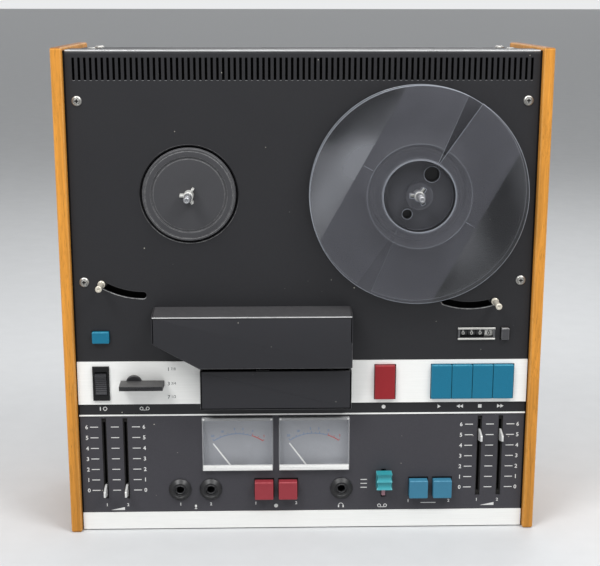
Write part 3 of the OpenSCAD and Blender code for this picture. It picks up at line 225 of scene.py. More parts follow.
def carried(outline: Array, profile: Sequence[Sequence[float]] | Array, facing: Facing = Facing.FRONT,
            looped: bool = False) -> Shell:
    """A profile carried along a closed outline. Each point is an outline point moved inwards by the
    profile's inset along the corner's bisector, at the profile's depth.

    Args:
        outline: Counterclockwise outline points.
        profile: Rows of inset and depth, with rub as an optional third column.
        facing: How the outline lies in space.
        looped: Whether the profile closes on itself; otherwise both ends get a flat cap.

    Returns:
        The closed shell.
    """
    p = np.asarray(outline, float)[:, :2]
    p = p[np.linalg.norm(p - np.roll(p, 1, 0), axis=1) > 1e-6]
    prof = np.asarray(profile, float)
    edge = np.roll(p, -1, 0) - p
    edge /= np.linalg.norm(edge, axis=1, keepdims=True)
    normal = np.stack([-edge[:, 1], edge[:, 0]], 1)
    before = np.roll(normal, 1, 0)
    bisector = (normal + before) / (1 + np.sum(normal * before, 1, keepdims=True))
    rings = p[None] + prof[:, 0, None, None] * bisector[None]
    points = facing.place(rings, np.broadcast_to(prof[:, 1, None], rings.shape[:2]))
    m, n = rings.shape[:2]
    faces = [grid_faces(m, n, looped, True)]
    if not looped:
        faces += [np.arange(n)[None, ::-1], (m - 1) * n + np.arange(n)[None]]
    rub = prof[:, 2] if prof.shape[1] > 2 else np.zeros(m)
    return Shell(points.reshape(-1, 3), faces, np.repeat(rub, n))


def domed(outline: Array, near: float, far: float, ease: float, dish: float,
          facing: Facing = Facing.FRONT) -> Shell:
    """A cap with rounded edges and a hollow face. The face is the rounded outline drawn together towards
    its middle by a share s, sunk by dish (1 - s^2).

    Args:
        outline: Counterclockwise outline points.
        near: Depth of the rear end.
        far: Depth of the face at its edge.
        ease: Radius of the rounded edges.
        dish: How far the middle of the face is sunk.
        facing: How the outline lies in space.

    Returns:
        The closed shell.
    """
    side = carried(outline, through(near, far, ease), facing)
    count = len(side.faces[2][0])
    edge = side.points[-count:]
    middle = edge.mean(0)
    share = np.linspace(1, 0, 7)[:, None, None]
    face = middle + share * (edge - middle)
    face[..., facing.value[2]] -= facing.value[3] * dish * (1 - share[..., 0] ** 2)
    cap = Shell(face.reshape(-1, 3), [grid_faces(7, count, False, True)], np.zeros(7 * count))
    return Shell(side.points, side.faces[:2], side.rub) + cap


def turned(u: float, v: float, profile: Sequence[Sequence[float]] | Array, facing: Facing = Facing.FRONT,
           looped: bool = False, steps: int = 72) -> Shell:
    """A surface of revolution: each profile radius is turned through a full circle at the profile's depth.

    Args:
        u: First outline coordinate of the axis.
        v: Second outline coordinate of the axis.
        profile: Rows of radius and depth, with rub as an optional third column.
        facing: How the axis lies in space.
        looped: Whether the profile closes on itself; otherwise its ends lie on the axis or are left open.
        steps: Points round the circle.

    Returns:
        The shell.
    """
    prof = np.asarray(profile, float)
    a = np.linspace(0, 2 * np.pi, steps, endpoint=False)
    ring = np.stack([np.cos(a), np.sin(a)], 1)
    uv = np.array([u, v]) + prof[:, 0, None, None] * ring[None]
    points = facing.place(uv, np.broadcast_to(prof[:, 1, None], uv.shape[:2]))
    rub = prof[:, 2] if prof.shape[1] > 2 else np.zeros(len(prof))
    return Shell(points.reshape(-1, 3), [grid_faces(len(prof), steps, looped, True)], np.repeat(rub, steps))


def plate(outline: Array, holes: Sequence[Array], near: float, far: float,
          facing: Facing = Facing.FRONT) -> Shell:
    """A flat plate with holes. Its two faces are the Delaunay triangles of all outline points whose middle
    lies inside an odd number of outlines, and its walls are the outlines carried through the thickness.

    Args:
        outline: Outer outline.
        holes: Outlines of the holes.
        near: Depth of one face.
        far: Depth of the other face.
        facing: How the plate lies in space.

    Returns:
        The closed shell.
    """
    loops = [np.asarray(loop, float)[:, :2] for loop in (outline, *holes)]
    starts = np.cumsum([0] + [len(loop) for loop in loops])
    edges = np.vstack([np.stack([s + np.arange(len(q)), s + (np.arange(len(q)) + 1) % len(q)], 1)
                       for s, q in zip(starts, loops)])
    found = delaunay_2d_cdt([Vector(q) for q in np.vstack(loops)], edges.tolist(), [], 0, 1e-7)
    flat, triangles = np.array([list(q) for q in found[0]]), np.array(found[2])
    middle = flat[triangles].mean(1)
    crossings = np.zeros(len(middle), int)
    for loop in loops:
        a, b = loop, np.roll(loop, -1, 0)
        spans = (a[None, :, 1] > middle[:, None, 1]) != (b[None, :, 1] > middle[:, None, 1])
        rise = np.where(np.abs(b[:, 1] - a[:, 1]) < 1e-12, 1e-12, b[:, 1] - a[:, 1])
        at = a[None, :, 0] + (middle[:, None, 1] - a[None, :, 1]) * ((b[:, 0] - a[:, 0]) / rise)[None]
        crossings += np.sum(spans & (middle[:, None, 0] < at), 1)
    triangles = triangles[crossings % 2 == 1]
    shells = [Shell(facing.place(flat, np.full(len(flat), d)), [triangles], np.zeros(len(flat)))
              for d in (near, far)]
    for loop in loops:
        ring = np.stack([loop, loop])
        depth = np.repeat([[near], [far]], len(loop), 1)
        shells.append(Shell(facing.place(ring, depth).reshape(-1, 3),
                            [grid_faces(2, len(loop), False, True)], np.zeros(2 * len(loop))))
    return join(shells)


def soft_box(low: Sequence[float], high: Sequence[float], ease: float) -> Shell:
    """A box with rounded edges, between two corners in millimetres."""
    outline = eased(rectangle(low[0], high[0], low[2], high[2]), ease)
    return carried(outline, through(low[1], high[1], ease), Facing.BACK)


def link(a: Sequence[float], b: Sequence[float], radius_a: float, radius_b: float) -> Array:
    """Outline of a bar with two round ends, whose sides touch both circles. Seen from the bar's line, they
    touch at an angle whose cosine is the difference of the radii over the bar's length.

    Args:
        a: Middle of the first end.
        b: Middle of the second end.
        radius_a: Radius of the first end.
        radius_b: Radius of the second end.

    Returns:
        The outline, counterclockwise.
    """
    start, d = np.asarray(a, float), np.asarray(b, float) - np.asarray(a, float)
    way = math.degrees(math.atan2(d[1], d[0]))
    lean = math.degrees(math.acos((radius_a - radius_b) / np.linalg.norm(d)))
    return np.vstack([arc(*start, radius_a, way + lean, way + 360 - lean),
                      arc(*(start + d), radius_b, way - lean, way + lean)])


_numerals: dict[tuple[str, float], Shell] = {}


def numeral(text: str, height: float, thick: float = 0.06, weight: float = 0.02) -> Shell:
    """Plain figures as a thin mesh round the origin: first column to the right, second up, third outwards.

    Args:
        text: The figures.
        height: Height of the figures in millimetres.
        thick: Thickness in millimetres.
        weight: How much the strokes are fattened, as a share of the type size.

    Returns:
        The shell, in outline coordinates.
    """
    key = (text, weight)
    if key not in _numerals:
        curve = bpy.data.curves.new("figures", "FONT")
        curve.body, curve.extrude, curve.resolution_u = text, 0.5, 3
        curve.offset = weight
        holder = bpy.data.objects.new("figures", curve)
        bpy.context.scene.collection.objects.link(holder)
        bpy.context.view_layer.update()
        mesh = bpy.data.meshes.new_from_object(holder.evaluated_get(bpy.context.evaluated_depsgraph_get()))
        points = np.empty(len(mesh.vertices) * 3)
        mesh.vertices.foreach_get("co", points)
        points = points.reshape(-1, 3)
        low, high = points.min(0), points.max(0)
        points = (points - (low + high) / 2) / [high[1] - low[1], high[1] - low[1], high[2] - low[2]]
        faces = [np.array([list(p.vertices)]) for p in mesh.polygons]
        bpy.data.objects.remove(holder)
        bpy.data.meshes.remove(mesh)
        bpy.data.curves.remove(curve)
        _numerals[key] = Shell(points, faces, np.zeros(len(points)))
    base = _numerals[key]
    return Shell(base.points * [height, height, thick], base.faces, base.rub)


def printed(shell: Shell, x: float, z: float, out: float) -> Shell:
    """A flat mark moved to its place on a front panel, a given distance in front of the deck face."""
    p = shell.points
    return Shell(Facing.FRONT.place(p[:, :2] + [x, z], p[:, 2] + out), shell.faces, shell.rub)


class Graph:
    """A shader node tree while it is being written."""

    def __init__(self, tree: bpy.types.NodeTree) -> None:
        """Keeps the tree and empties it."""
        self.tree = tree
        tree.nodes.clear()

    def add(self, kind: str, inputs: dict[str | int, object] | None = None,
            **settings: object) -> bpy.types.Node:
        """Adds one node.

        Args:
            kind: Blender's name of the node type, without its prefix.
            inputs: Socket name or index to a value, or to a socket that is linked to it.
            settings: Properties of the node.

        Returns:
            The node.
        """
        node = self.tree.nodes.new(("" if kind.startswith("Node") else "ShaderNode") + kind)
        for key, value in settings.items():
            setattr(node, key, value)
        for key, value in (inputs or {}).items():
            if isinstance(value, bpy.types.NodeSocket):
                self.tree.links.new(value, node.inputs[key])
            else:
                node.inputs[key].default_value = value
        return node

    def math(self, operation: str, a: object, b: object = 0.0) -> Socket:
        """Output of a Math node on two values or sockets."""
        return self.add("Math", {0: a, 1: b}, operation=operation).outputs[0]

    def spread(self, value: object, low: float, high: float, to_low: float, to_high: float) -> Socket:
        """A value stretched from one range to another and kept inside it."""
        return self.add("MapRange", {0: value, 1: low, 2: high, 3: to_low, 4: to_high}).outputs[0]

    def mix(self, share: object, a: object, b: object) -> Socket:
        """A colour between two colours."""
        return self.add("Mix", {0: share, 6: a, 7: b}, data_type="RGBA").outputs[2]

    def noise(self, vector: object, scale: object, detail: float = 3.0, rough: float = 0.6) -> Socket:
        """Value of a noise texture."""
        return self.add("TexNoise", {"Vector": vector, "Scale": scale, "Detail": detail,
                                     "Roughness": rough}).outputs[0]

    def place(self) -> Socket:
        """Object coordinates."""
        return self.add("TexCoord").outputs["Object"]

    def effect(self, effect: "Effect", values: dict[str, object] | None = None) -> bpy.types.Node:
        """A node that places a shared effect with its own values."""
        return self.add("Group", values, node_tree=effect.tree())


class Effect(Enum):
    """Shared shader effects, each a node group that is made once."""

    GRAIN = "fine_grain"
    BRUSHED = "brushed_lines"
    SPECKS = "dust_specks"
    WOOD = "wood_figure"
    RUBBED = "rubbed_edges"
    SMUDGES = "soft_smudges"
    SETTLED = "settled_dust"

    def tree(self) -> bpy.types.NodeTree:
        """The node group, written at its first use."""
        found = bpy.data.node_groups.get(self.value)
        return found if found else _WRITERS[self]()


def new_group(effect: Effect, inputs: dict[str, float | Sequence[float]], outputs: Sequence[str]) \
        -> tuple[Graph, bpy.types.Node, bpy.types.Node]:
    """An empty node group with named sockets.

    Args:
        effect: Which effect it is for.
        inputs: Input names and their usual values; three numbers make a vector.
        outputs: Output names, all of them values.

    Returns:
        The graph, its input node and its output node.
    """
    tree = bpy.data.node_groups.new(effect.value, "ShaderNodeTree")
    for name, value in inputs.items():
        kind = "NodeSocketFloat" if isinstance(value, float) else "NodeSocketVector"
        tree.interface.new_socket(name, in_out="INPUT", socket_type=kind).default_value = value
    for name in outputs:
        tree.interface.new_socket(name, in_out="OUTPUT", socket_type="NodeSocketFloat")
    graph = Graph(tree)
    return graph, graph.add("NodeGroupInput"), graph.add("NodeGroupOutput")


def write_grain() -> bpy.types.NodeTree:
    """Moulded or painted grain: a soft tone and a finer height, both from noise.

    Returns:
        The node group.
    """
    g, start, end = new_group(Effect.GRAIN, {"Scale": 900.0}, ["Tone", "Height"])
    g.tree.links.new(g.noise(g.place(), start.outputs["Scale"]), end.inputs["Tone"])
    fine = g.math("MULTIPLY", start.outputs["Scale"], 2.7)
    g.tree.links.new(g.noise(g.place(), fine, 2.0, 0.5), end.inputs["Height"])
    return g.tree


def write_brushed() -> bpy.types.NodeTree:
    """Drawn lines: noise on coordinates that are stretched by a different amount along each axis.

    Returns:
        The node group.
    """
    g, start, end = new_group(Effect.BRUSHED, {"Stretch": (20.0, 20.0, 3000.0)}, ["Tone", "Height"])
    at = g.add("VectorMath", {0: g.place(), 1: start.outputs["Stretch"]}, operation="MULTIPLY").outputs[0]
    lines = g.noise(at, 1.0, 4.0, 0.7)
    g.tree.links.new(lines, end.inputs["Tone"])
    g.tree.links.new(lines, end.inputs["Height"])
    return g.tree


def write_specks() -> bpy.types.NodeTree:
    """Dust: small round cells of a cell texture, kept where the cell's own random value is high.

    Returns:
        The node group.
    """
    g, start, end = new_group(Effect.SPECKS, {"Scale": 260.0, "Share": 0.05}, ["Mask"])
    cells = g.add("TexVoronoi", {"Vector": g.place(), "Scale": start.outputs["Scale"]})
    parts = g.add("SeparateColor", {0: cells.outputs["Color"]})
    kept = g.math("LESS_THAN", parts.outputs[0], start.outputs["Share"])
    size = g.spread(parts.outputs[1], 0.0, 1.0, 0.03, 0.16)
    dot = g.math("LESS_THAN", cells.outputs["Distance"], size)
    shade = g.math("MULTIPLY", g.math("MULTIPLY", kept, dot), g.spread(parts.outputs[2], 0.0, 1.0, 0.2, 1.0))
    g.tree.links.new(shade, end.inputs["Mask"])
    return g.tree


def write_wood() -> bpy.types.NodeTree:
    """Straight-grained veneer: broad streaks and fine pores, both drawn out along the height, with the
    streaks bent by slow noise and painted a little darker towards the foot as painted shade, and a mask of
    the end grain just under the top.

    Returns:
        The node group.
    """
    g, start, end = new_group(Effect.WOOD, {"Top": 0.411}, ["Tone", "Pores", "Height", "Ends"])
    at = g.place()
    height = g.add("SeparateXYZ", {0: at}).outputs[2]
    under = g.math("SUBTRACT", start.outputs["Top"], height)
    g.tree.links.new(g.spread(under, 0.0003, 0.0012, 1.0, 0.0), end.inputs["Ends"])
    drawn = g.add("VectorMath", {0: at, 1: (14.0, 14.0, 3.0)}, operation="MULTIPLY").outputs[0]
    slow = g.noise(drawn, 1.0, 2.0)
    bend = g.add("CombineXYZ", {0: g.spread(slow, 0.0, 1.0, -0.012, 0.012),
                                1: g.spread(slow, 0.0, 1.0, -0.02, 0.02)})
    bent = g.add("VectorMath", {0: at, 1: bend.outputs[0]}, operation="ADD").outputs[0]

    def streaks(stretch: Sequence[float], detail: float) -> Socket:
        """Noise on the bent coordinates, stretched along each axis."""
        scaled = g.add("VectorMath", {0: bent, 1: stretch}, operation="MULTIPLY").outputs[0]
        return g.noise(scaled, 1.0, detail, 0.65)

    broad = streaks((90.0, 90.0, 1.6), 4.0)
    fine = streaks((700.0, 700.0, 9.0), 3.0)
    pores = streaks((2400.0, 2400.0, 60.0), 2.0)
    tone = g.math("ADD", g.math("MULTIPLY", broad, 0.65), g.math("MULTIPLY", fine, 0.35))
    # Painted shade: the tone darkens over the lowest 140 mm.
    tone = g.math("ADD", tone, g.spread(height, 0.0, 0.14, -0.06, 0.0))
    g.tree.links.new(tone, end.inputs["Tone"])
    g.tree.links.new(g.spread(pores, 0.58, 0.72, 0.0, 1.0), end.inputs["Pores"])
    g.tree.links.new(g.math("ADD", g.math("MULTIPLY", fine, 0.5), g.math("MULTIPLY", pores, -0.5)),
                     end.inputs["Height"])
    return g.tree


def write_rubbed() -> bpy.types.NodeTree:
    """Edge tint, partly scuffing and partly painted highlight: the mesh's edge attribute, broken up by noise.

    Returns:
        The node group.
    """
    g, start, end = new_group(Effect.RUBBED, {"Amount": 0.5}, ["Mask"])
    rub = g.add("Attribute", attribute_name="rub").outputs["Fac"]
    broken = g.spread(g.noise(g.place(), 420.0, 4.0, 0.7), 0.35, 0.62, 0.25, 1.0)
    g.tree.links.new(g.math("MULTIPLY", g.math("MULTIPLY", rub, broken), start.outputs["Amount"]),
                     end.inputs["Mask"])
    return g.tree


def write_smudges() -> bpy.types.NodeTree:
    """Handling marks: slow noise that shifts the gloss.

    Returns:
        The node group.
    """
    g, start, end = new_group(Effect.SMUDGES, {"Scale": 18.0}, ["Value"])
    g.tree.links.new(g.noise(g.place(), start.outputs["Scale"], 5.0, 0.65), end.inputs["Value"])
    return g.tree


def write_settled() -> bpy.types.NodeTree:
    """Painted top light: a pale film on faces that look up, from the height part of the surface's own
    direction, broken up by noise.

    Returns:
        The node group.
    """
    g, start, end = new_group(Effect.SETTLED, {"Amount": 0.1}, ["Mask"])
    up = g.add("SeparateXYZ", {0: g.add("TexCoord").outputs["Normal"]}).outputs[2]
    broken = g.spread(g.noise(g.place(), 300.0, 4.0, 0.7), 0.3, 0.7, 0.6, 1.0)
    mask = g.math("MULTIPLY", g.spread(up, 0.6, 0.95, 0.0, 1.0), broken)
    g.tree.links.new(g.math("MULTIPLY", mask, start.outputs["Amount"]), end.inputs["Mask"])
    return g.tree


_WRITERS: dict[Effect, Callable[[], bpy.types.NodeTree]] = {
    Effect.GRAIN: write_grain, Effect.BRUSHED: write_brushed, Effect.SPECKS: write_specks,
    Effect.WOOD: write_wood, Effect.RUBBED: write_rubbed, Effect.SMUDGES: write_smudges,
    Effect.SETTLED: write_settled}


def colour(red: float, green: float, blue: float) -> Colour:
    """Linear colour from screen values: c / 12.92 for the darkest, else ((c + 0.055) / 1.055)^2.4.

    Args:
        red: Red from 0 to 255.
        green: Green from 0 to 255.
        blue: Blue from 0 to 255.

    Returns:
        The colour with full opacity.
    """
    c = np.array([red, green, blue]) / 255
    linear = np.where(c <= 0.04045, c / 12.92, ((c + 0.055) / 1.055) ** 2.4)
    return (*(float(x) for x in linear), 1.0)


END_GRAIN = colour(74, 42, 20)
SPECK = colour(190, 186, 176)
TOP_LIGHT_TINT = colour(150, 148, 146)
_MATERIALS: dict[str, bpy.types.Material] = {}


class Pattern(Enum):
    """What the tone and bump of a finish come from."""

    GRAIN = Effect.GRAIN
    BRUSHED = Effect.BRUSHED
    WOOD = Effect.WOOD


@dataclass(frozen=True)
class Finish:
    """A solid surface: its colour with a darker and a lighter tone, its gloss, bump, edge tint (scuffing,
    and painted highlight on some finishes), dust specks and painted top light.
    """

    name: str
    base: Colour
    rough: float
    metal: float = 0.0
    specular: float = 0.5
    pattern: Pattern = Pattern.GRAIN
    scale: float = 900.0
    stretch: tuple[float, float, float] = (20.0, 20.0, 3000.0)
    tone: float = 0.12
    bump: float = 0.25
    depth: float = 0.00005
    smudge: float = 0.08
    worn: Colour = (0.5, 0.5, 0.5, 1.0)
    wear: float = 0.0
    dust: float = 0.0
    settled: float = 0.0

    def material(self) -> bpy.types.Material:
        """The finish as a material, made at its first use.

        Returns:
            The material.
        """
        if self.name in _MATERIALS:
            return _MATERIALS[self.name]
        made = _MATERIALS[self.name] = bpy.data.materials.new(self.name + "_finish")
        made.use_nodes = True
        g = Graph(made.node_tree)
        shader = g.add("BsdfPrincipled", {"Metallic": self.metal, "Specular IOR Level": self.specular})
        grain = self._grain(g)
        dark, light = (tuple(min(1.0, c * k) for c in self.base[:3]) + (1.0,)
                       for k in (1 - self.tone, 1 + self.tone))
        tint = g.mix(g.spread(grain.outputs["Tone"], 0.3, 0.7, 0.0, 1.0), dark, light)
        if self.pattern is Pattern.WOOD:
            tint = g.mix(g.math("MULTIPLY", grain.outputs["Pores"], 0.65), tint,
                         tuple(c * 0.32 for c in self.base[:3]) + (1.0,))
            tint = g.mix(g.math("MULTIPLY", grain.outputs["Ends"], 0.8), tint, END_GRAIN)
        rough = g.spread(g.effect(Effect.SMUDGES).outputs[0], 0.3, 0.7,
                         self.rough - self.smudge, self.rough + self.smudge)
        # Edge tint: scuffing on most finishes, painted highlight on the rims, the reset button and the keys'
        # upper edges.
        if self.wear:
            tint = g.mix(g.effect(Effect.RUBBED, {"Amount": self.wear}).outputs[0], tint, self.worn)
        if self.dust:
            specks = g.effect(Effect.SPECKS, {"Share": self.dust}).outputs[0]
            tint = g.mix(specks, tint, SPECK)
        # Painted top light: faces that look up get a pale film, as if lit from above.
        if self.settled:
            film = g.effect(Effect.SETTLED, {"Amount": self.settled}).outputs[0]
            tint = g.mix(film, tint, TOP_LIGHT_TINT)
        bump = g.add("Bump", {"Strength": self.bump, "Distance": self.depth,
                              "Height": grain.outputs["Height"]})
        for value, socket in ((tint, "Base Color"), (rough, "Roughness"), (bump.outputs[0], "Normal")):
            g.tree.links.new(value, shader.inputs[socket])
        g.add("OutputMaterial", {0: shader.outputs[0]})
        return made

    def _grain(self, g: Graph) -> bpy.types.Node:
        """The node group that this finish takes its tone and height from.

        Args:
            g: The material's graph.

        Returns:
            The group's node.
        """
        values = {Pattern.GRAIN: {"Scale": self.scale}, Pattern.BRUSHED: {"Stretch": self.stretch},
                  Pattern.WOOD: None}
        return g.effect(self.pattern.value, values[self.pattern])


@dataclass(frozen=True)
class Band:
    """A paler, duller band across a clear piece: its middle, the direction across it and its half width in
    metres, and the plane that divides the dense front flange from what lies behind."""

    base: Colour
    rough: float
    middle: tuple[float, float, float]
    across: tuple[float, float, float]
    half: float
    front_y: float
    rear_share: float
    blur: float = 0.0004


@dataclass(frozen=True)
class ClearFinish:
    """Clear plastic: a faint film over the faces towards the eye with blotches of painted reflection, denser
    and tinted pale along its edges as a painted highlight. A wall's far face stays clear, so one wall shows
    one film."""

    name: str
    base: Colour
    sheen: Colour
    cover: float
    edge: Colour
    edge_cover: float
    rough: float
    band: Band | None = None
    specular: float = 0.5

    def material(self) -> bpy.types.Material:
        """The finish as a material, made at its first use.

        Returns:
            The material.
        """
        if self.name in _MATERIALS:
            return _MATERIALS[self.name]
        made = _MATERIALS[self.name] = bpy.data.materials.new(self.name + "_finish")
        made.use_nodes = True
        g = Graph(made.node_tree)
        shader = g.add("BsdfPrincipled", {"Specular IOR Level": self.specular, "IOR": 1.55})
        haze = g.noise(g.place(), 17.0, 0.6, 0.4)
        # Painted reflection: the haze noise lays pale blotches into the film's tint.
        painted_sheen_mask = g.spread(haze, 0.38, 0.64, 0.0, 1.0)
        cover = g.spread(haze, 0.3, 0.7, self.cover * 0.9, self.cover * 1.1)
        rough = g.spread(haze, 0.3, 0.7, self.rough * 0.7, self.rough * 1.4)
        tint = g.mix(painted_sheen_mask, self.base, self.sheen)
        if self.band:
            tint, cover, rough = self._banded(g, painted_sheen_mask, cover, rough)
        # Painted highlight: along the edges the film is denser and tinted pale.
        rub = g.add("Attribute", attribute_name="rub").outputs["Fac"]
        tint = g.mix(rub, tint, self.edge)
        cover = g.add("Mix", {0: rub, 2: cover, 3: self.edge_cover}).outputs[0]
        hidden = g.add("NewGeometry").outputs["Backfacing"]
        cover = g.math("MULTIPLY", cover, g.math("SUBTRACT", 1.0, hidden))
        for value, socket in ((tint, "Base Color"), (cover, "Alpha"), (rough, "Roughness")):
            g.tree.links.new(value, shader.inputs[socket])
        g.add("OutputMaterial", {0: shader.outputs[0]})
        return made

    def _banded(self, g: Graph, painted_sheen_mask: Socket, cover: Socket, rough: Socket) -> tuple[Socket, ...]:
        """Adds the band. A point's distance from the band's middle line is the dot product of its place with
        the direction across; outside the band the painted reflection is strongest on the upper left and fades
        across.

        Args:
            g: The material's graph.
            painted_sheen_mask: Mask of the painted reflection.
            cover: Density of the film.
            rough: Roughness of the film.

        Returns:
            The tint, the density and the roughness with the band.
        """
        band = self.band
        off = g.add("VectorMath", {0: g.place(), 1: band.middle}, operation="SUBTRACT").outputs[0]
        across = g.add("VectorMath", {0: off, 1: band.across}, operation="DOT_PRODUCT").outputs["Value"]
        inside = g.spread(g.math("ABSOLUTE", across), band.half - band.blur, band.half + band.blur, 1.0, 0.0)
        sheen = g.math("MULTIPLY", painted_sheen_mask, g.spread(across, -band.half, band.half, 0.3, 1.0))
        cloud = g.spread(g.effect(Effect.SMUDGES, {"Scale": 60.0}).outputs[0], 0.3, 0.7, 0.9, 1.1)
        film = g.add("VectorMath", {0: band.base[:3], "Scale": cloud}, operation="SCALE").outputs[0]
        tint = g.mix(inside, g.mix(sheen, self.base, self.sheen), film)
        depth = g.add("SeparateXYZ", {0: g.place()}).outputs[1]
        share = g.spread(depth, band.front_y, band.front_y + 0.001, 1.0, band.rear_share)
        rough = g.add("Mix", {0: inside, 2: rough, 3: band.rough}).outputs[0]
        return tint, g.math("MULTIPLY", cover, share), rough


STEEL_LINES = (1500.0, 60.0, 1500.0)
REEL_AXIS = (93.2, 293.5)
LEFT_AXIS = (-93.2, 293.5)
SLOT_ANGLE = 61.0
FIN_ANGLES = (57.0, 177.0, 297.0)
LEFT_PIVOT = (-132.4, 275.2)
RIGHT_PIVOT = (139.3, 265.2)
ARM_LENGTH = 66.0
TRIM_OUT = 1.2
BAND_ACROSS = math.radians(SLOT_ANGLE + 90)
STYRENE_BAND = Band(colour(79, 80, 87), 0.5, (REEL_AXIS[0] * MM, 0.0, REEL_AXIS[1] * MM),
                    (math.cos(BAND_ACROSS), 0.0, math.sin(BAND_ACROSS)), 52.9 * MM, (DECK_Y - 14.3) * MM,
                    0.8)
FINISHES: dict[str, Finish | ClearFinish] = {finish.name: finish for finish in (
    Finish("oiled_wood", colour(209, 142, 58), 0.5, pattern=Pattern.WOOD, tone=0.42, bump=0.4,
           depth=0.00012, worn=colour(226, 172, 104), wear=0.5, specular=0.18),
    Finish("deck_paint", colour(31, 31, 34), 0.56, scale=1500.0, tone=0.14, bump=0.3, depth=0.00004,
           dust=0.025, specular=0.35, worn=colour(150, 150, 152), wear=0.8),
    Finish("chassis_steel", colour(40, 40, 43), 0.62, scale=1200.0, dust=0.03, specular=0.2),
    Finish("satin_trim", colour(247, 247, 244), 0.36, metal=0.1, pattern=Pattern.BRUSHED,
           stretch=(25.0, 900.0, 2600.0), tone=0.05, bump=0.14, depth=0.00003, smudge=0.06),
    Finish("bright_steel", colour(208, 208, 206), 0.24, metal=1.0, pattern=Pattern.BRUSHED,
           stretch=STEEL_LINES, tone=0.1, bump=0.15, depth=0.00003),
    Finish("drive_metal", colour(182, 184, 188), 0.36, metal=1.0, scale=700.0, tone=0.08),
    Finish("motor_steel", colour(140, 140, 142), 0.42, metal=1.0, scale=500.0, tone=0.12),
    Finish("pulley_brass", colour(205, 168, 92), 0.3, metal=1.0, scale=700.0, tone=0.1),
    Finish("black_rubber", colour(30, 30, 30), 0.8, scale=1600.0, tone=0.2, bump=0.4, specular=0.3),
    Finish("cover_plastic", colour(36, 36, 40), 0.5, scale=2200.0, tone=0.12, bump=0.35,
           depth=0.00005, dust=0.006, specular=0.35, worn=colour(150, 150, 152), wear=0.5,
           settled=0.12),
    Finish("black_plastic", colour(16, 16, 17), 0.34, scale=1400.0, tone=0.2, bump=0.1,
           specular=0.25, worn=colour(80, 80, 82), wear=0.3),
    Finish("table_plastic", colour(58, 58, 61), 0.5, scale=1800.0, tone=0.14, bump=0.25,
           dust=0.02, specular=0.45, worn=colour(160, 160, 160), wear=0.5),
    Finish("knob_plastic", colour(40, 40, 42), 0.48, scale=1500.0, tone=0.12, bump=0.25,
           worn=colour(110, 110, 112), wear=0.35, specular=0.3, settled=0.2),
    Finish("record_red", colour(146, 34, 40), 0.42, scale=1800.0, tone=0.08, bump=0.15,
           specular=0.25, worn=colour(196, 104, 108), wear=0.5),
    Finish("button_red", colour(148, 54, 62), 0.42, scale=1800.0, tone=0.08, bump=0.15,
           specular=0.25, worn=colour(220, 128, 132), wear=0.5),
    Finish("key_teal", colour(26, 112, 142), 0.42, scale=1800.0, tone=0.07, bump=0.15, specular=0.2,
           worn=colour(110, 190, 206), wear=0.6),
    Finish("button_blue", colour(60, 122, 150), 0.42, scale=1800.0, tone=0.07, bump=0.15,
           specular=0.25, worn=colour(132, 186, 210), wear=0.5),
    Finish("lever_green", colour(50, 148, 158), 0.36, scale=1800.0, tone=0.07, bump=0.12,
           worn=colour(150, 218, 214), wear=0.5),
    # For the clear finishes, the second colour is painted reflection and the fourth a painted edge highlight.
    ClearFinish("clear_styrene", colour(42, 43, 46), colour(138, 140, 146), 0.55, colour(176, 182, 192),
                0.6, 0.12, STYRENE_BAND),
    ClearFinish("clear_lens", colour(196, 198, 202), colour(208, 210, 213), 0.15, colour(214, 214, 213),
                0.84, 0.08),
    Finish("meter_grey", colour(167, 169, 175), 0.6, scale=900.0, tone=0.05, bump=0.06),
    Finish("drum_black", colour(48, 48, 49), 0.5, scale=1500.0),
    Finish("drum_white", colour(240, 239, 233), 0.5, scale=1500.0, tone=0.05),
    Finish("needle_white", colour(252, 252, 250), 0.4, scale=1200.0, tone=0.02),
    Finish("board_green", colour(40, 92, 60), 0.45, scale=300.0, tone=0.25))}

PALE_FLOOR = Finish("pale_floor", (0.56, 0.57, 0.58, 1.0), 0.6, scale=40.0, tone=0.015, bump=0.05,
                    specular=0.3)
PANEL_PRINT = Finish("panel_print", colour(222, 222, 220), 0.5, scale=1500.0, tone=0.08, bump=0.1)
SCALE_BLUE = Finish("scale_blue", colour(104, 138, 186), 0.6, tone=0.08, bump=0.05)
SCALE_RED = Finish("scale_red", colour(206, 70, 60), 0.55, tone=0.08, bump=0.05)
SPEED_PRINT = Finish("speed_print", colour(112, 112, 112), 0.55, tone=0.1, bump=0.05)
# Dark paint with a pale edge tint that is a painted highlight on the hole and slot rims.
HIGHLIGHT_RIM = Finish("highlight_rim", colour(34, 34, 36), 0.34, scale=900.0, tone=0.2, specular=0.4,
                    worn=colour(190, 190, 190), wear=0.7)
# Bright metal, a painted highlight along the deck's top bend and the head cover's top edge.
EDGE_HIGHLIGHT = Finish("edge_highlight", colour(196, 196, 196), 0.32, metal=0.5, pattern=Pattern.BRUSHED,
                   stretch=(60.0, 600.0, 600.0), tone=0.18, bump=0.1)
DULL_PANEL = Finish("dull_panel", colour(60, 59, 64), 0.58, scale=1500.0, tone=0.1, bump=0.3, depth=0.00004,
                    dust=0.012, specular=0.35)
STEM_PINK = Finish("stem_pink", colour(168, 126, 136), 0.5, tone=0.08, bump=0.1)
# White, a painted highlight of the meter lens's lower edge and upper corners.
LENS_HIGHLIGHT = Finish("lens_highlight", colour(240, 240, 237), 0.3, tone=0.06, bump=0.08)
LENS_HEAD = Finish("lens_head", colour(150, 150, 151), 0.34, tone=0.08, bump=0.08)
# Near black, painted shade: gaps at the deck's sides, the screws' cross recesses and shadows round keys.
PAINTED_SHADE = Finish("painted_shade", colour(8, 8, 8), 0.7, tone=0.1, bump=0.1, specular=0.15)
# Light grey, a painted highlight on the lower ends of the vents.
VENT_GLINT = Finish("vent_glint", colour(112, 112, 114), 0.4, tone=0.3, scale=500.0)
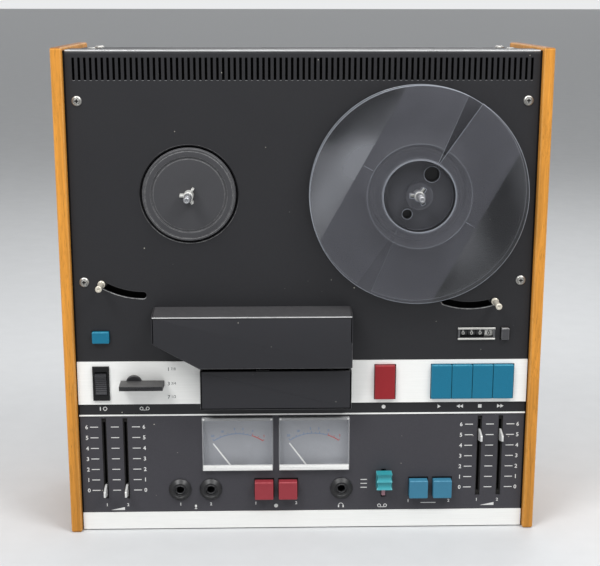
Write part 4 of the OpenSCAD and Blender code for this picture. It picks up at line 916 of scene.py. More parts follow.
# Near black, painted shade for the plates seen through the vents and the tape slot.
INNER_SHADE = Finish("painted_inner_shade", colour(14, 14, 15), 0.75, tone=0.2, specular=0.15)
TRACK_FELT = Finish("track_felt", colour(50, 49, 48), 0.9, scale=2500.0, tone=0.45, bump=0.5, specular=0.15)
HEAD_STEEL = Finish("head_steel", colour(104, 104, 106), 0.4, metal=0.9, scale=700.0, tone=0.1)
SCREW_STEEL = Finish("screw_steel", colour(166, 165, 161), 0.34, metal=0.8, scale=900.0, tone=0.14)
LEVER_PLATE = Finish("lever_plate", colour(224, 224, 222), 0.34, metal=0.35, pattern=Pattern.BRUSHED,
                     stretch=STEEL_LINES, tone=0.07, bump=0.1)
JACK_GLOSS = Finish("jack_gloss", colour(18, 18, 20), 0.4, scale=1400.0, tone=0.15, bump=0.06, specular=0.5)
COUNTER_BAR = Finish("counter_bar", colour(204, 203, 198), 0.34, metal=0.35, pattern=Pattern.BRUSHED,
                     stretch=(60.0, 900.0, 900.0), tone=0.1, bump=0.1)
SPINDLE_STEEL = Finish("spindle_steel", colour(164, 165, 168), 0.34, metal=0.7, scale=900.0, tone=0.1)
# Near black, painted shade inside the reel's hub and behind its holes.
REEL_SHADE_CORE = Finish("reel_shade_core", colour(24, 24, 26), 0.4, scale=1200.0, tone=0.15, bump=0.1, specular=0.3)
ROCKER_RIBS = Finish("rocker_ribs", colour(50, 50, 53), 0.46, scale=1400.0, tone=0.15, bump=0.15,
                     specular=0.35)
COLLAR_STEEL = Finish("collar_steel", colour(206, 206, 202), 0.34, metal=0.3, scale=1200.0, tone=0.08,
                      bump=0.1)
# Dark steel, darkened as painted shade for the arms that lie behind the deck.
ARM_STEEL = Finish("arm_steel", colour(58, 58, 60), 0.5, metal=0.6, scale=900.0, tone=0.12, specular=0.3)
GUIDE_CREAM = Finish("guide_cream", colour(206, 200, 186), 0.32, metal=0.3, scale=1200.0, tone=0.08,
                     bump=0.1)
# Painted light: its pale edge tint is a highlight on the upper edge, its top film painted top light.
RESET_GREY = Finish("reset_grey", colour(60, 60, 63), 0.36, scale=1500.0, tone=0.1, bump=0.15,
                    worn=colour(206, 206, 206), wear=0.9, settled=0.8)


def put(shell: Shell, name: str, body: str, finish: Finish | ClearFinish, replaces: Sequence[str] = (),
        crease: float = 38.0) -> bpy.types.Object:
    """Makes a piece from a shell: merges double points, turns its faces outwards, smooths it up to an
    angle, gives it its finish and lets it ride on its body.

    Args:
        shell: The piece in millimetres.
        name: Name of the piece.
        body: CAD body that it moves with.
        finish: Its finish.
        replaces: CAD nodes that it stands for.
        crease: Largest angle between faces that is shaded smooth, in degrees.

    Returns:
        The object.
    """
    mesh = bpy.data.meshes.new(name)
    mesh.from_pydata((shell.points * MM).tolist(), [], [f for group in shell.faces for f in group.tolist()])
    mesh.attributes.new("rub", "FLOAT", "POINT").data.foreach_set("value", shell.rub.astype(np.float32))
    work = bmesh.new()
    work.from_mesh(mesh)
    bmesh.ops.remove_doubles(work, verts=work.verts, dist=2e-7)
    bmesh.ops.recalc_face_normals(work, faces=work.faces)
    work.to_mesh(mesh)
    work.free()
    mesh.polygons.foreach_set("use_smooth", np.ones(len(mesh.polygons), bool))
    mesh.set_sharp_from_angle(angle=math.radians(crease))
    piece = bpy.data.objects.new(name, mesh)
    bpy.context.scene.collection.objects.link(piece)
    mesh.materials.append(finish.material())
    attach(piece, body)
    if replaces:
        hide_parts(*replaces)
    log.info("%s: %d points, %d faces, on %s", name, len(mesh.vertices), len(mesh.polygons), body)
    return piece


@dataclass
class Cabinet:
    """Two oiled wooden side panels."""

    corner: float = 2.2
    edge: float = 1.5

    def build(self) -> None:
        """Makes both panels: a rectangle in depth and height carried through the thickness."""
        for node in ("left_side_panel", "right_side_panel"):
            low, high = node_box(node)
            outline = eased(rectangle(low[1], high[1], low[2], high[2]), self.corner)
            put(carried(outline, through(low[0], high[0], self.edge), Facing.SIDE), node + "_veneer", "root",
                FINISHES["oiled_wood"], [node])


@dataclass
class Deck:
    """Rolled rims of the reel holes and arm slots, painted bright on their lower edges as a highlight, and
    the bright screws.
    """

    reel_axes: tuple[tuple[float, float], ...] = (LEFT_AXIS, REEL_AXIS)
    hole_r: float = 39.25
    bevel: float = 1.2
    rim: float = 0.4
    arm_length: float = ARM_LENGTH
    slot_half: float = 2.8
    slots: tuple[tuple[float, float, float, float], ...] = (
        (*LEFT_PIVOT, -31.5, -0.5), (*RIGHT_PIVOT, -18.5, 18.5))
    deck_screws: tuple[tuple[float, float], ...] = (
        (-181.2, 369), (181.2, 369), (-181.2, 220.5), (181.2, 220.5))
    rear_screw_x: float = 183.25
    rear_inset: float = 16.0
    top_screw_x: float = 176.0
    top_screw_y: tuple[float, float] = (5.0, 54.0)
    washer_r: float = 4.15
    cup_out: float = 1.5
    pan_out: float = 2.2
    edge_x: float = 189.3
    edging_off: float = 0.85
    edging_half: float = 0.8
    vents: int = 81
    vent_half: float = 183.0
    vent_drop: float = 23.7

    def build(self) -> None:
        """Makes the rims and the screws."""
        section = circle(0, 0, self.rim, 10)
        at = self.hole_r + self.bevel
        rims = join([turned(*axis, section + [at, -self.rim / 2], looped=True, steps=128)
                     for axis in self.reel_axes])
        # Painted highlight: only the left hole's rim is tinted bright, more towards its bottom, where light
        # from above falls.
        below = np.clip((self.reel_axes[0][1] - rims.points[:, 2]) / at, 0, 1)
        rims.rub = 0.7 * below * (rims.points[:, 0] < 0)
        put(rims, "hole_rims", "root", HIGHLIGHT_RIM)
        put(join([self.slot_lip(*s) for s in self.slots]), "slot_rims", "root", HIGHLIGHT_RIM)
        self.edges()
        self.screws()

    def edges(self) -> None:
        """A bright bead along the deck's top edge as painted highlight, dark strips in the gap to the side
        panels as painted shade, and bright lower ends of the vents as painted highlight."""
        foot, roof = node_box("control_panel")[0][2], node_box("deck_plate")[1][2]
        # Painted highlight: a bright metal bead along the deck's top bend.
        bead = eased(rectangle(DECK_Y - 0.06, DECK_Y + 0.9, roof - 1.3, roof + 0.06), 0.45)
        put(carried(bead, through(-self.edge_x, self.edge_x, 0.3), Facing.SIDE), "deck_bead_highlight", "root",
            EDGE_HIGHLIGHT)
        # Painted shade: black strips fill the gaps between the deck and the side panels.
        x, half = self.edge_x + self.edging_off, self.edging_half
        strips = [soft_box((s * x - half, DECK_Y - 0.06, foot), (s * x + half, DECK_Y + 1.6, roof - 0.3),
                           0.25)
                  for s in (-1, 1)]
        put(join(strips), "deck_gap_shade", "root", PAINTED_SHADE)
        # Painted highlight: a light strip at the lower end of each vent slot.
        low = roof - self.vent_drop
        lip = through(-0.4, 0.06, 0.06, steps=2)
        ends = [carried(rectangle(x - 0.9, x + 0.9, low - 0.4, low + 0.02), lip)
                for x in np.linspace(-self.vent_half, self.vent_half, self.vents)]
        put(join(ends), "vent_glints", "root", VENT_GLINT)

    def slot_lip(self, x: float, z: float, start: float, end: float) -> Shell:
        """A round lip carried along a slot's edge, painted bright as a highlight where it lies farther from
        the arm's pivot than the slot's middle, on the lower edge that light from above catches.

        Args:
            x: The pivot's place across.
            z: The pivot's height.
            start: Angle of the slot's first end from straight down, in degrees.
            end: Angle of its other end.

        Returns:
            The closed shell.
        """
        section = circle(-self.rim, -self.rim / 3, self.rim, 8)
        lip = carried(self.slot_outline(x, z, start, end), section, looped=True)
        away = np.hypot(lip.points[:, 0] - x, lip.points[:, 2] - z) - self.arm_length
        lip.rub = np.clip(2 * away / self.slot_half - 0.8, 0, 1)
        return lip

    def slot_outline(self, x: float, z: float, start: float, end: float) -> Array:
        """Outline of a curved slot: an outer arc, a round end, an inner arc and another round end.

        Args:
            x: The pivot's place across.
            z: The pivot's height.
            start: Angle of the slot's first end from straight down, in degrees.
            end: Angle of its other end.

        Returns:
            The outline, counterclockwise.
        """
        half = self.slot_half
        turns = [math.radians(a) for a in (start, end)]
        ends = [(x + self.arm_length * math.sin(a), z - self.arm_length * math.cos(a)) for a in turns]
        return np.vstack([arc(x, z, self.arm_length + half, start - 90, end - 90, 40),
                          arc(*ends[1], half, end - 90, end + 90, 12),
                          arc(x, z, self.arm_length - half, end - 90, start - 90, 40),
                          arc(*ends[0], half, start + 90, start + 270, 12)])

    def screws(self) -> None:
        """Screws with cup washers on the deck and at the back, and pan heads on the top."""
        r = self.washer_r
        cup = eased([[0, -9], [1.7, -9], [1.7, 0], [r, 0], [r - 0.2, 0.55], [r - 1.2, 1.35], [2.75, 1.0],
                     [2.45, 0.75], [2.3, 1.25], [1.2, self.cup_out], [0, self.cup_out]], 0.12, 4,
                    closed=False)
        pan = eased([[0, -6], [1.7, -6], [1.7, 0], [r, 0], [r - 0.1, 0.9], [r - 1.5, 2.1],
                     [0, self.pan_out]],
                    0.25, 4, closed=False)
        low, high = node_box("rear_cover")
        roof = node_box("chassis_frame")[1][2]
        inset = self.rear_inset
        rear = [(s * self.rear_screw_x, z) for s in (-1, 1)
                for z in (low[2] + inset, (low[2] + high[2]) / 2, high[2] - inset)]
        top = [(s * self.top_screw_x, y) for s in (-1, 1) for y in self.top_screw_y]
        sets = ((self.deck_screws, cup, 0.0, self.cup_out, Facing.FRONT),
                (rear, cup, high[1], self.cup_out, Facing.BACK), (top, pan, roof, self.pan_out, Facing.TOP))
        heads = [turned(u, v, profile + [0, base, 0], facing, steps=40)
                 for places, profile, base, _, facing in sets for u, v in places]
        put(join(heads), "case_screw_heads", "root", SCREW_STEEL, ["case_screws"])
        # Painted shade: each cross recess is a dark cross set just proud in the head, not a real recess.
        crosses = [carried(self.cross() + [u, v], through(base + depth - 0.4, base + depth + 0.02, 0.01),
                           facing)
                   for places, _, base, depth, facing in sets for u, v in places]
        put(join(crosses), "screw_recess_shade", "root", PAINTED_SHADE)

    @staticmethod
    def cross(reach: float = 1.6, half: float = 0.5) -> Array:
        """Outline of a cross recess: one arm's three corners turned through four quarters.

        Args:
            reach: Length of an arm.
            half: Half the width of an arm.

        Returns:
            The outline, counterclockwise.
        """
        arm = np.array([[half, half], [half, reach], [-half, reach]])
        quarter = np.array([[0, 1], [-1, 0]])
        return np.vstack([arm @ np.linalg.matrix_power(quarter, k) for k in range(4)])


@dataclass
class ReelDrive:
    """One reel table with its spindle."""

    side: str
    x: float
    z: float = REEL_AXIS[1]
    fin_angles: tuple[float, ...] = FIN_ANGLES
    fin_reach: float = 7.2
    fin_half: float = 1.0

    def build(self) -> None:
        """Turns the table, the spindle and its collar, and carries the three fins outwards."""
        table = eased([[4, -12], [10, -12], [10, -3], [37.2, -3], [38.2, -2], [38.2, 1.7], [37.4, 3.0],
                       [36.3, 3.0], [36.1, 2.6], [35.5, 2.6], [35.3, 3.0], [31.2, 3.0], [30.7, 1.8],
                       [29.4, 1.8], [28.9, 2.4], [4.0, 2.4]], 0.25, 5)
        body = self.side + "_reel"
        put(turned(self.x, self.z, table, looped=True, steps=128), self.side + "_table_disc", body,
            FINISHES["table_plastic"], [self.side + "_reel_table"])
        shaft = eased([[0, -66], [4, -66], [4, 1], [3.2, 1], [3.2, 26], [2.2, 27.4], [2.2, 28.8],
                       [2.6, 29.3], [2.6, 31.4], [2.0, 32], [1.2, 32], [1.0, 31], [0, 31]], 0.25, 5,
                      closed=False)
        put(turned(self.x, self.z, shaft, steps=48), self.side + "_spindle_shaft", body, SPINDLE_STEEL,
            [self.side + "_spindle"])
        collar = eased([[3.1, 1], [4, 1], [4, 14.2], [3.5, 14.8], [3.1, 14.8]], 0.2)
        fins = [self.fin(math.radians(a)) for a in self.fin_angles]
        put(join([turned(self.x, self.z, collar, looped=True, steps=48), *fins]),
            self.side + "_spindle_collar", body, COLLAR_STEEL)

    def fin(self, angle: float) -> Shell:
        """One fin: a rounded rectangle turned to its angle and carried out from the table.

        Args:
            angle: Direction of the fin in radians.

        Returns:
            The closed shell.
        """
        outline = eased(rectangle(2.0, self.fin_reach, -self.fin_half, self.fin_half), 0.35)[:, :2]
        turn = np.array([[math.cos(angle), math.sin(angle)], [-math.sin(angle), math.cos(angle)]])
        return carried(outline @ turn + [self.x, self.z], through(2.4, 11.4, 0.6))


@dataclass
class TapeReel:
    """Empty clear reel: two slotted flanges, an open hub, a web with two holes and a keyed boss."""

    x: float = REEL_AXIS[0]
    z: float = REEL_AXIS[1]
    rim_r: float = 88.9
    well_r: float = 29.0
    hub_r: float = 30.8
    rear: float = 3.2
    front: float = 16.2
    flange_t: float = 1.6
    boss_r: float = 11.0
    bore_r: float = 4.15
    slot_hub: float = 0.8
    slot_rim: float = 6.5
    fin_angles: tuple[float, ...] = FIN_ANGLES
    holes: tuple[tuple[float, float, float], ...] = ((10.5, 17.0, 6.3), (-9.0, -15.5, 4.0))

    def build(self) -> None:
        """Makes the clear reel, then a dark core inside its hub and behind its two holes, painted shade where
        the hub and the holes look dark.
        """
        parts = [self.flange(self.front - self.flange_t, self.front, SLOT_ANGLE, 0.22, 0.35),
                 self.flange(self.rear, self.rear + self.flange_t, SLOT_ANGLE + 180, 0.0, 0.05),
                 self.hub(), self.web(), self.boss(), *(self.tick(math.radians(a)) for a in (151.0, 331.0))]
        put(join(parts), "tape_reel_clear", "reel", FINISHES["clear_styrene"], ["tape_reel"])
        core = eased([[self.well_r - 0.3, 8.3], [self.well_r + 0.6, 8.3],
                      [self.well_r + 0.6, self.front - 1.9], [self.well_r - 0.3, self.front - 0.9]], 0.1)
        shells = [turned(self.x, self.z, core, looped=True, steps=128)]
        for dx, dz, r in self.holes:
            cup = [[0, 3.6], [r, 3.6], [r, 7.9], [r - 0.3, 7.9], [r - 0.3, 3.9], [0, 3.9]]
            shells.append(turned(self.x + dx, self.z + dz, cup, steps=40))
        put(join(shells), "tape_reel_shade_core", "reel", REEL_SHADE_CORE)

    def flange(self, back: float, face: float, angle: float, ring: float, slot_highlight: float) -> Shell:
        """One flange as a grid of a cross-section and an angle. At radius r the slot takes the angle whose
        sine is its half width there over r, so the grid opens like a fan along the slot.

        Args:
            back: Depth of the hidden face.
            face: Depth of the outer face.
            angle: Direction of the slot in degrees.
            ring: Height of the fine ring on the outer face, which also sets how bright its painted highlight
                is.
            slot_highlight: How strong the painted highlight on the slot's edges is.

        Returns:
            The closed shell.
        """
        # Third column: painted highlight, bright at the rim, on the fine ring and at the edge of the well.
        section = np.array([
            [self.well_r, back, 0], [self.hub_r, back, 0], [self.hub_r, back, 0], [60, back, 0],
            [self.rim_r - 0.9, back, 0], [self.rim_r - 0.4, back, 0.3], [self.rim_r, back + 0.4, 0.8],
            [self.rim_r, face - 0.4, 0.9], [self.rim_r - 0.3, face - 0.05, 0.8],
            [self.rim_r - 0.6, face, 0.3], [self.rim_r - 0.9, face, 0], [60, face, 0], [43.1, face, 0],
            [42.7, face + ring, 1.2 * ring], [42.3, face + ring, 1.2 * ring], [41.9, face, 0],
            [self.hub_r + 0.5, face, 0], [self.hub_r, face, 0.1], [self.hub_r, face, 0.1],
            [self.well_r + 0.4, face, 0.5], [self.well_r, face - 0.4, 0.6]])
        r = section[:, 0]
        share = np.clip((r - self.hub_r) / (self.rim_r - self.hub_r), 0, 1)
        width = self.slot_hub + share * (self.slot_rim - self.slot_hub)
        half = np.where(r > self.hub_r + 1e-6, np.arcsin(width / r), 0)
        half[[2, 17]] = math.asin(self.slot_hub / self.hub_r)  # both rows at the hub where the slot begins
        t = np.concatenate([[0, 0.0012], np.linspace(0.004, 0.996, 200), [0.9988, 1]])
        a = math.radians(angle) + half[:, None] + t[None] * (2 * np.pi - 2 * half[:, None])
        uv = np.stack([self.x + r[:, None] * np.cos(a), self.z + r[:, None] * np.sin(a)], -1)
        depth = np.broadcast_to(section[:, 1, None], a.shape)
        m, n = a.shape
        at_slot = (half[:, None] > 0) & ((t < 1e-6) | (t > 1 - 1e-6))
        rub = np.maximum(section[:, 2, None], slot_highlight * at_slot)
        caps = [np.arange(m)[None] * n + k for k in (0, n - 1)]
        return Shell(Facing.FRONT.place(uv, depth).reshape(-1, 3), [grid_faces(m, n, True, False), *caps],
                     rub.ravel())

    def hub(self) -> Shell:
        """The wall between the flanges, turned from a closed section.

        Returns:
            The closed shell.
        """
        # The third column paints a faint highlight on the wall's edges.
        wall = np.array([[self.well_r, self.rear, 0.25], [self.hub_r, self.rear + self.flange_t, 0],
                         [self.hub_r, self.front - self.flange_t, 0], [self.well_r, self.front - 0.4, 0.4],
                         [self.well_r, 8.2, 0]])
        return turned(self.x, self.z, wall, looped=True, steps=128)

    def web(self) -> Shell:
        """The disc inside the hub, with a large and a small hole whose rims are painted bright as a
        highlight.

        Returns:
            The closed shell.
        """
        cuts = [circle(self.x + dx, self.z + dz, r, 40) for dx, dz, r in self.holes]
        cuts.append(circle(self.x, self.z, self.boss_r, 48))
        disc = plate(circle(self.x, self.z, self.well_r, 96), cuts, 6.2, 8.2)
        section = np.concatenate([circle(0, 8.1, 0.3, 8), np.full((8, 1), 0.7)], 1)
        rims = [turned(self.x + dx, self.z + dz, section + [r + 0.2, 0, 0], looped=True, steps=48)
                for dx, dz, r in self.holes]
        return join([disc, *rims])

    def boss(self) -> Shell:
        """The boss with a bore and three slots for the spindle's fins. A slot leaves the bore where the
        bore's radius and the slot's half width make a right triangle.

        Returns:
            The closed shell.
        """
        half, reach = 1.4, 7.6
        inner = math.sqrt(self.bore_r ** 2 - half ** 2)
        edge = math.degrees(math.asin(half / self.bore_r))
        third = np.vstack([[[inner, -half], [reach, -half], [reach, half]],
                           arc(0, 0, self.bore_r, edge, 120 - edge, 8)[:-1]])
        turns = np.radians(self.fin_angles)
        c, s = np.cos(turns)[:, None], np.sin(turns)[:, None]
        u, v = third.T
        star = np.stack([u * c - v * s, u * s + v * c], -1).reshape(-1, 2) + [self.x, self.z]
        face = self.front - 1.6
        # Painted highlight: a bright lip round the star-shaped bore.
        lip = np.concatenate([circle(-0.25, face, 0.22, 6), np.ones((6, 1))], 1)
        return plate(circle(self.x, self.z, self.boss_r, 48), [star], self.rear, face) \
            + carried(star, lip, looped=True)

    def tick(self, angle: float) -> Shell:
        """A short raised line on the front flange, along a radius.

        Args:
            angle: Direction of the radius in radians.

        Returns:
            The closed shell.
        """
        along = np.array([math.cos(angle), math.sin(angle)])
        across = np.array([-along[1], along[0]]) * 0.25
        a, b = along * 43.5 + [self.x, self.z], along * 52.0 + [self.x, self.z]
        line = carried(np.array([a - across, b - across, b + across, a + across]),
                       through(self.front - 0.2, self.front + 0.12, 0.05))
        # Painted highlight: the raised line is tinted pale.
        line.rub = np.full(len(line.points), 0.3)
        return line


@dataclass
class TensionGuide:
    """One swinging arm behind the deck with its flanged guide post."""

    side: str
    pivot: tuple[float, float]
    angle: float
    length: float = ARM_LENGTH

    def build(self) -> None:
        """Carries the arm's outline through its thickness and turns the post and the pivot hub."""
        a = math.radians(self.angle)
        end = (self.pivot[0] + self.length * math.sin(a), self.pivot[1] - self.length * math.cos(a))
        arm = carried(link(self.pivot, end, 6.0, 4.0), through(-6.5, -4.5, 0.3))
        post = eased([[0, -5.5], [2, -5.5], [2, 1], [3.1, 1], [3.1, 2.3], [2.3, 2.8], [2.3, 17.6],
                      [2.7, 18.2], [2.7, 19.5], [2.1, 20], [1.1, 20], [0.9, 19.2], [0, 19.2]], 0.25, 5,
                     closed=False)
        hub = eased([[2.55, -13.7], [5, -13.7], [5, -5.6], [2.55, -5.6]], 0.3)
        put(join([arm, turned(*self.pivot, hub, looped=True, steps=40)]), self.side + "_guide_arm",
            self.side + "_arm", ARM_STEEL, [self.side + "_tension_arm"])
        put(turned(*end, post, steps=40), self.side + "_guide_post", self.side + "_arm", GUIDE_CREAM)


@dataclass
class HeadBlock:
    """Cover over the heads, with a bright strip along its top front edge as painted highlight, and the cover
    below the tape slot.
    """

    left: float = -124.7
    step: float = -86.3
    right: float = 40.0
    bottom: float = 152.0
    exit_z: float = 173.6
    top: float = 196.0
    rise: float = 3.2
    out: float = 24.0
    wall: float = 1.8
    edge: float = 0.7

    def build(self) -> None:
        """Makes both covers."""
        front = carried(eased([[self.step, self.bottom], [self.right, self.bottom], [self.right, self.top],
                               [self.left, self.top], [self.left, self.exit_z]], 0.8),
                        through(self.out - self.wall, self.out, self.edge))
        face, deck = DECK_Y - self.out, DECK_Y
        peak = self.top + self.rise
        roof = self.beam([[face, self.top - self.wall], [deck, peak - self.wall], [deck, peak],
                          [face, self.top]],
                         self.left, self.right)
        side = [[face, self.exit_z], [deck, self.exit_z], [deck, peak], [face, self.top]]
        walls = [self.beam(side, self.left, self.left + self.wall),
                 self.beam(side, self.right - self.wall, self.right)]
        shell = join([front, roof, *walls])
        shell.rub *= np.where(shell.points[:, 2] < self.bottom + 1, 1.0, 0.1)
        put(shell, "head_cover_shell", "head_cover", FINISHES["cover_plastic"], ["head_cover"])
        # Painted highlight: a bright strip along the cover's top front edge.
        rub = self.beam([[face - 0.06, self.top - 0.75], [face + 0.9, self.top - 0.5],
                         [face + 0.9, self.top + 0.2], [face - 0.02, self.top + 0.04]], self.left + 0.7,
                        self.right - 0.7, 0.12)
        put(rub, "head_cover_edge_highlight", "head_cover", EDGE_HIGHLIGHT)
        low, high = node_box("lower_cover")
        w = self.wall
        parts = [((low[0], low[1], low[2]), (high[0], low[1] + w, high[2])),
                 ((low[0], low[1], low[2]), (low[0] + w, high[1], high[2])),
                 ((high[0] - w, low[1], low[2]), (high[0], high[1], high[2])),
                 ((low[0], low[1], low[2]), (high[0], high[1], low[2] + w))]
        shell = join([soft_box(a, b, 0.5) for a, b in parts])
        shell.rub *= np.where((shell.points[:, 2] < low[2] + 1) & (shell.points[:, 1] < low[1] + 1), 1.0,
                              0.05)
        put(shell, "lower_cover_shell", "root", FINISHES["cover_plastic"], ["lower_cover"])

    @staticmethod
    def beam(corners: Sequence[Sequence[float]], x0: float, x1: float, ease: float = 0.4) -> Shell:
        """An outline in depth and height carried sideways with rounded edges."""
        return carried(eased(corners, ease), through(x0, x1, ease), Facing.SIDE)


# Margins of the painted shadow frame round its caps, widest where shadow falls: left, right, below and above.
KEY_SHADOW = (0.3, 1.0, 0.9, 0.3)
SELECTOR_SHADOW = (0.4, 0.8, 0.3, 1.5)
RESET_SHADOW = (0.8, 0.3, 0.7, 0.3)


@dataclass
class PushButtons:
    """All keys and push buttons: a dished cap on a stem."""

    ease: float = 0.7
    cap_back: float = 3.0
    stem_half: float = 2.5
    stem_back: float = 10.0
    well_gap: float = 0.03
    dishes: dict[str, float] = field(default_factory=lambda: {
        "record_key": 0.25, "play_key": 0.25, "rewind_key": 0.25, "stop_key": 0.25, "wind_key": 0.25,
        "left_record_button": 0.2, "right_record_button": 0.2, "source_button": 0.2, "tape_button": 0.2,
        "edit_button": 0.12, "counter_reset": 0.1})
    openings: tuple[tuple[tuple[str, ...], tuple[float, float, float, float], float], ...] = (
        (("record_key",), KEY_SHADOW, TRIM_OUT),
        (("play_key", "rewind_key", "stop_key", "wind_key"), KEY_SHADOW, TRIM_OUT),
        (("left_record_button",), SELECTOR_SHADOW, 0.0), (("right_record_button",), SELECTOR_SHADOW, 0.0),
        (("source_button",), SELECTOR_SHADOW, 0.0), (("tape_button",), SELECTOR_SHADOW, 0.0),
        (("counter_reset",), RESET_SHADOW, 0.0))

    def build(self) -> None:
        """Makes each cap from the CAD node's box, with rings that sink towards the middle of its face. The
        upper edge gets most of the pale edge tint, partly scuffing and partly a painted highlight from above."""
        for node, dish in self.dishes.items():
            low, high = node_box(node)
            out = DECK_Y - low[1]
            outline = eased(rectangle(low[0], high[0], low[2], high[2]), 1.0)
            cap = domed(outline, -self.cap_back, out, self.ease, dish)
            x, z, s = (low[0] + high[0]) / 2, (low[2] + high[2]) / 2, self.stem_half
            stem = soft_box((x - s, DECK_Y + self.cap_back - 0.5, z - s),
                            (x + s, DECK_Y + self.stem_back, z + s), 0.3)
            # Partly painted highlight: the pale edge tint stays mostly on the upper edge, where light falls
            # from above.
            cap.rub *= np.where(cap.points[:, 2] > high[2] - self.ease, 1.0, 0.2)
            finish = RESET_GREY if node == "counter_reset" else FINISHES[NODE_SLOT[node]]
            put(cap + stem, node + "_cap", NODE_BODY[node], finish, [node], crease=30)
        self.wells()

    def wells(self) -> None:
        """Painted shadows round the keys and selectors: dark frames that are wider on the right and below a
        key, or above a selector, where the shadow falls, and lie on the panel that the cap comes through."""
        frames = []
        for nodes, (left, right, below, above), depth in self.openings:
            boxes = [node_box(node) for node in nodes]
            gap = self.well_gap
            holes = [rectangle(low[0] - gap, high[0] + gap, low[2] - gap, high[2] + gap)
                     for low, high in boxes]
            low, high = boxes[0][0], boxes[-1][1]
            outer = rectangle(low[0] - left, high[0] + right, low[2] - below, high[2] + above)
            frames.append(plate(outer, holes, depth - 0.1, depth + 0.04))
        put(join(frames), "key_shadow_frames", "root", PAINTED_SHADE)


@dataclass
class PowerAndSpeed:
    """Ridged power rocker and the bar knob of the speed selector."""

    x: float = -170.2
    z: float = 133.25
    half: float = 9.0
    width: float = 4.7
    tilt: float = 8.0
    knob: tuple[float, float] = (-142.5, 133.85)
    bar: tuple[float, float] = (-11.2, 25.6)
    bar_half: float = 2.25

    def build(self) -> None:
        """Makes the rocker and the knob."""
        put(self.rocker(), "power_rocker_ridged", "power_rocker", ROCKER_RIBS, ["power_rocker"])
        low, _ = node_box("speed_knob")
        out = DECK_Y - low[1]
        x, z = self.knob
        hub = eased([[0, 1.6], [6.8, 1.6], [6.8, 4.0], [6.2, 4.6], [0, 4.6]], 0.3, 5, closed=False)
        outline = eased(rectangle(x + self.bar[0], x + self.bar[1], z - self.bar_half, z + self.bar_half),
                        0.5)
        bar = carried(outline, through(2.6, out, 0.45, draft=0.35))
        shaft = eased([[0, -12], [3, -12], [3, 2.6], [0, 2.6]], 0.2, 4, closed=False)
        put(join([turned(x, z, hub), bar, turned(x, z, shaft, steps=32)]), "speed_knob_bar", "speed_knob",
            FINISHES["knob_plastic"], ["speed_knob"])

    def rocker(self) -> Shell:
        """The rocker: a hollow front with fine ridges, tilted about its pin and carried across its width.
        The front lies 3.6 + 1.6 (h / half)^2 before the pin, plus the ridges' cosine wave.

        Returns:
            The closed shell.
        """
        h = np.linspace(-self.half + 0.4, self.half - 0.4, 120)
        ridge = 0.22 * np.cos(2 * np.pi * h / 1.9) * (np.abs(h) < self.half - 1.2)
        front = np.stack([-(3.6 + 1.6 * (h / self.half) ** 2 + ridge), h], 1)
        back = np.array([[1.0, self.half], [4.0, self.half / 2], [4.0, -self.half / 2], [1.0, -self.half]])
        outline = np.vstack([front, [[-4.9, self.half]], back, [[-4.9, -self.half]]])
        c, s = math.cos(math.radians(self.tilt)), math.sin(math.radians(self.tilt))
        outline = outline @ np.array([[c, s], [-s, c]]) + [DECK_Y, self.z]
        body = carried(outline[::-1], [[0, self.x - self.width, 0], [0, self.x + self.width, 0]],
                       Facing.SIDE)
        pin = eased([[0, self.x - 5.9], [1.2, self.x - 5.9], [1.2, self.x + 5.9], [0, self.x + 5.9]], 0.2, 4,
                    closed=False)
        return body + turned(DECK_Y, self.z, pin, Facing.SIDE, steps=24)


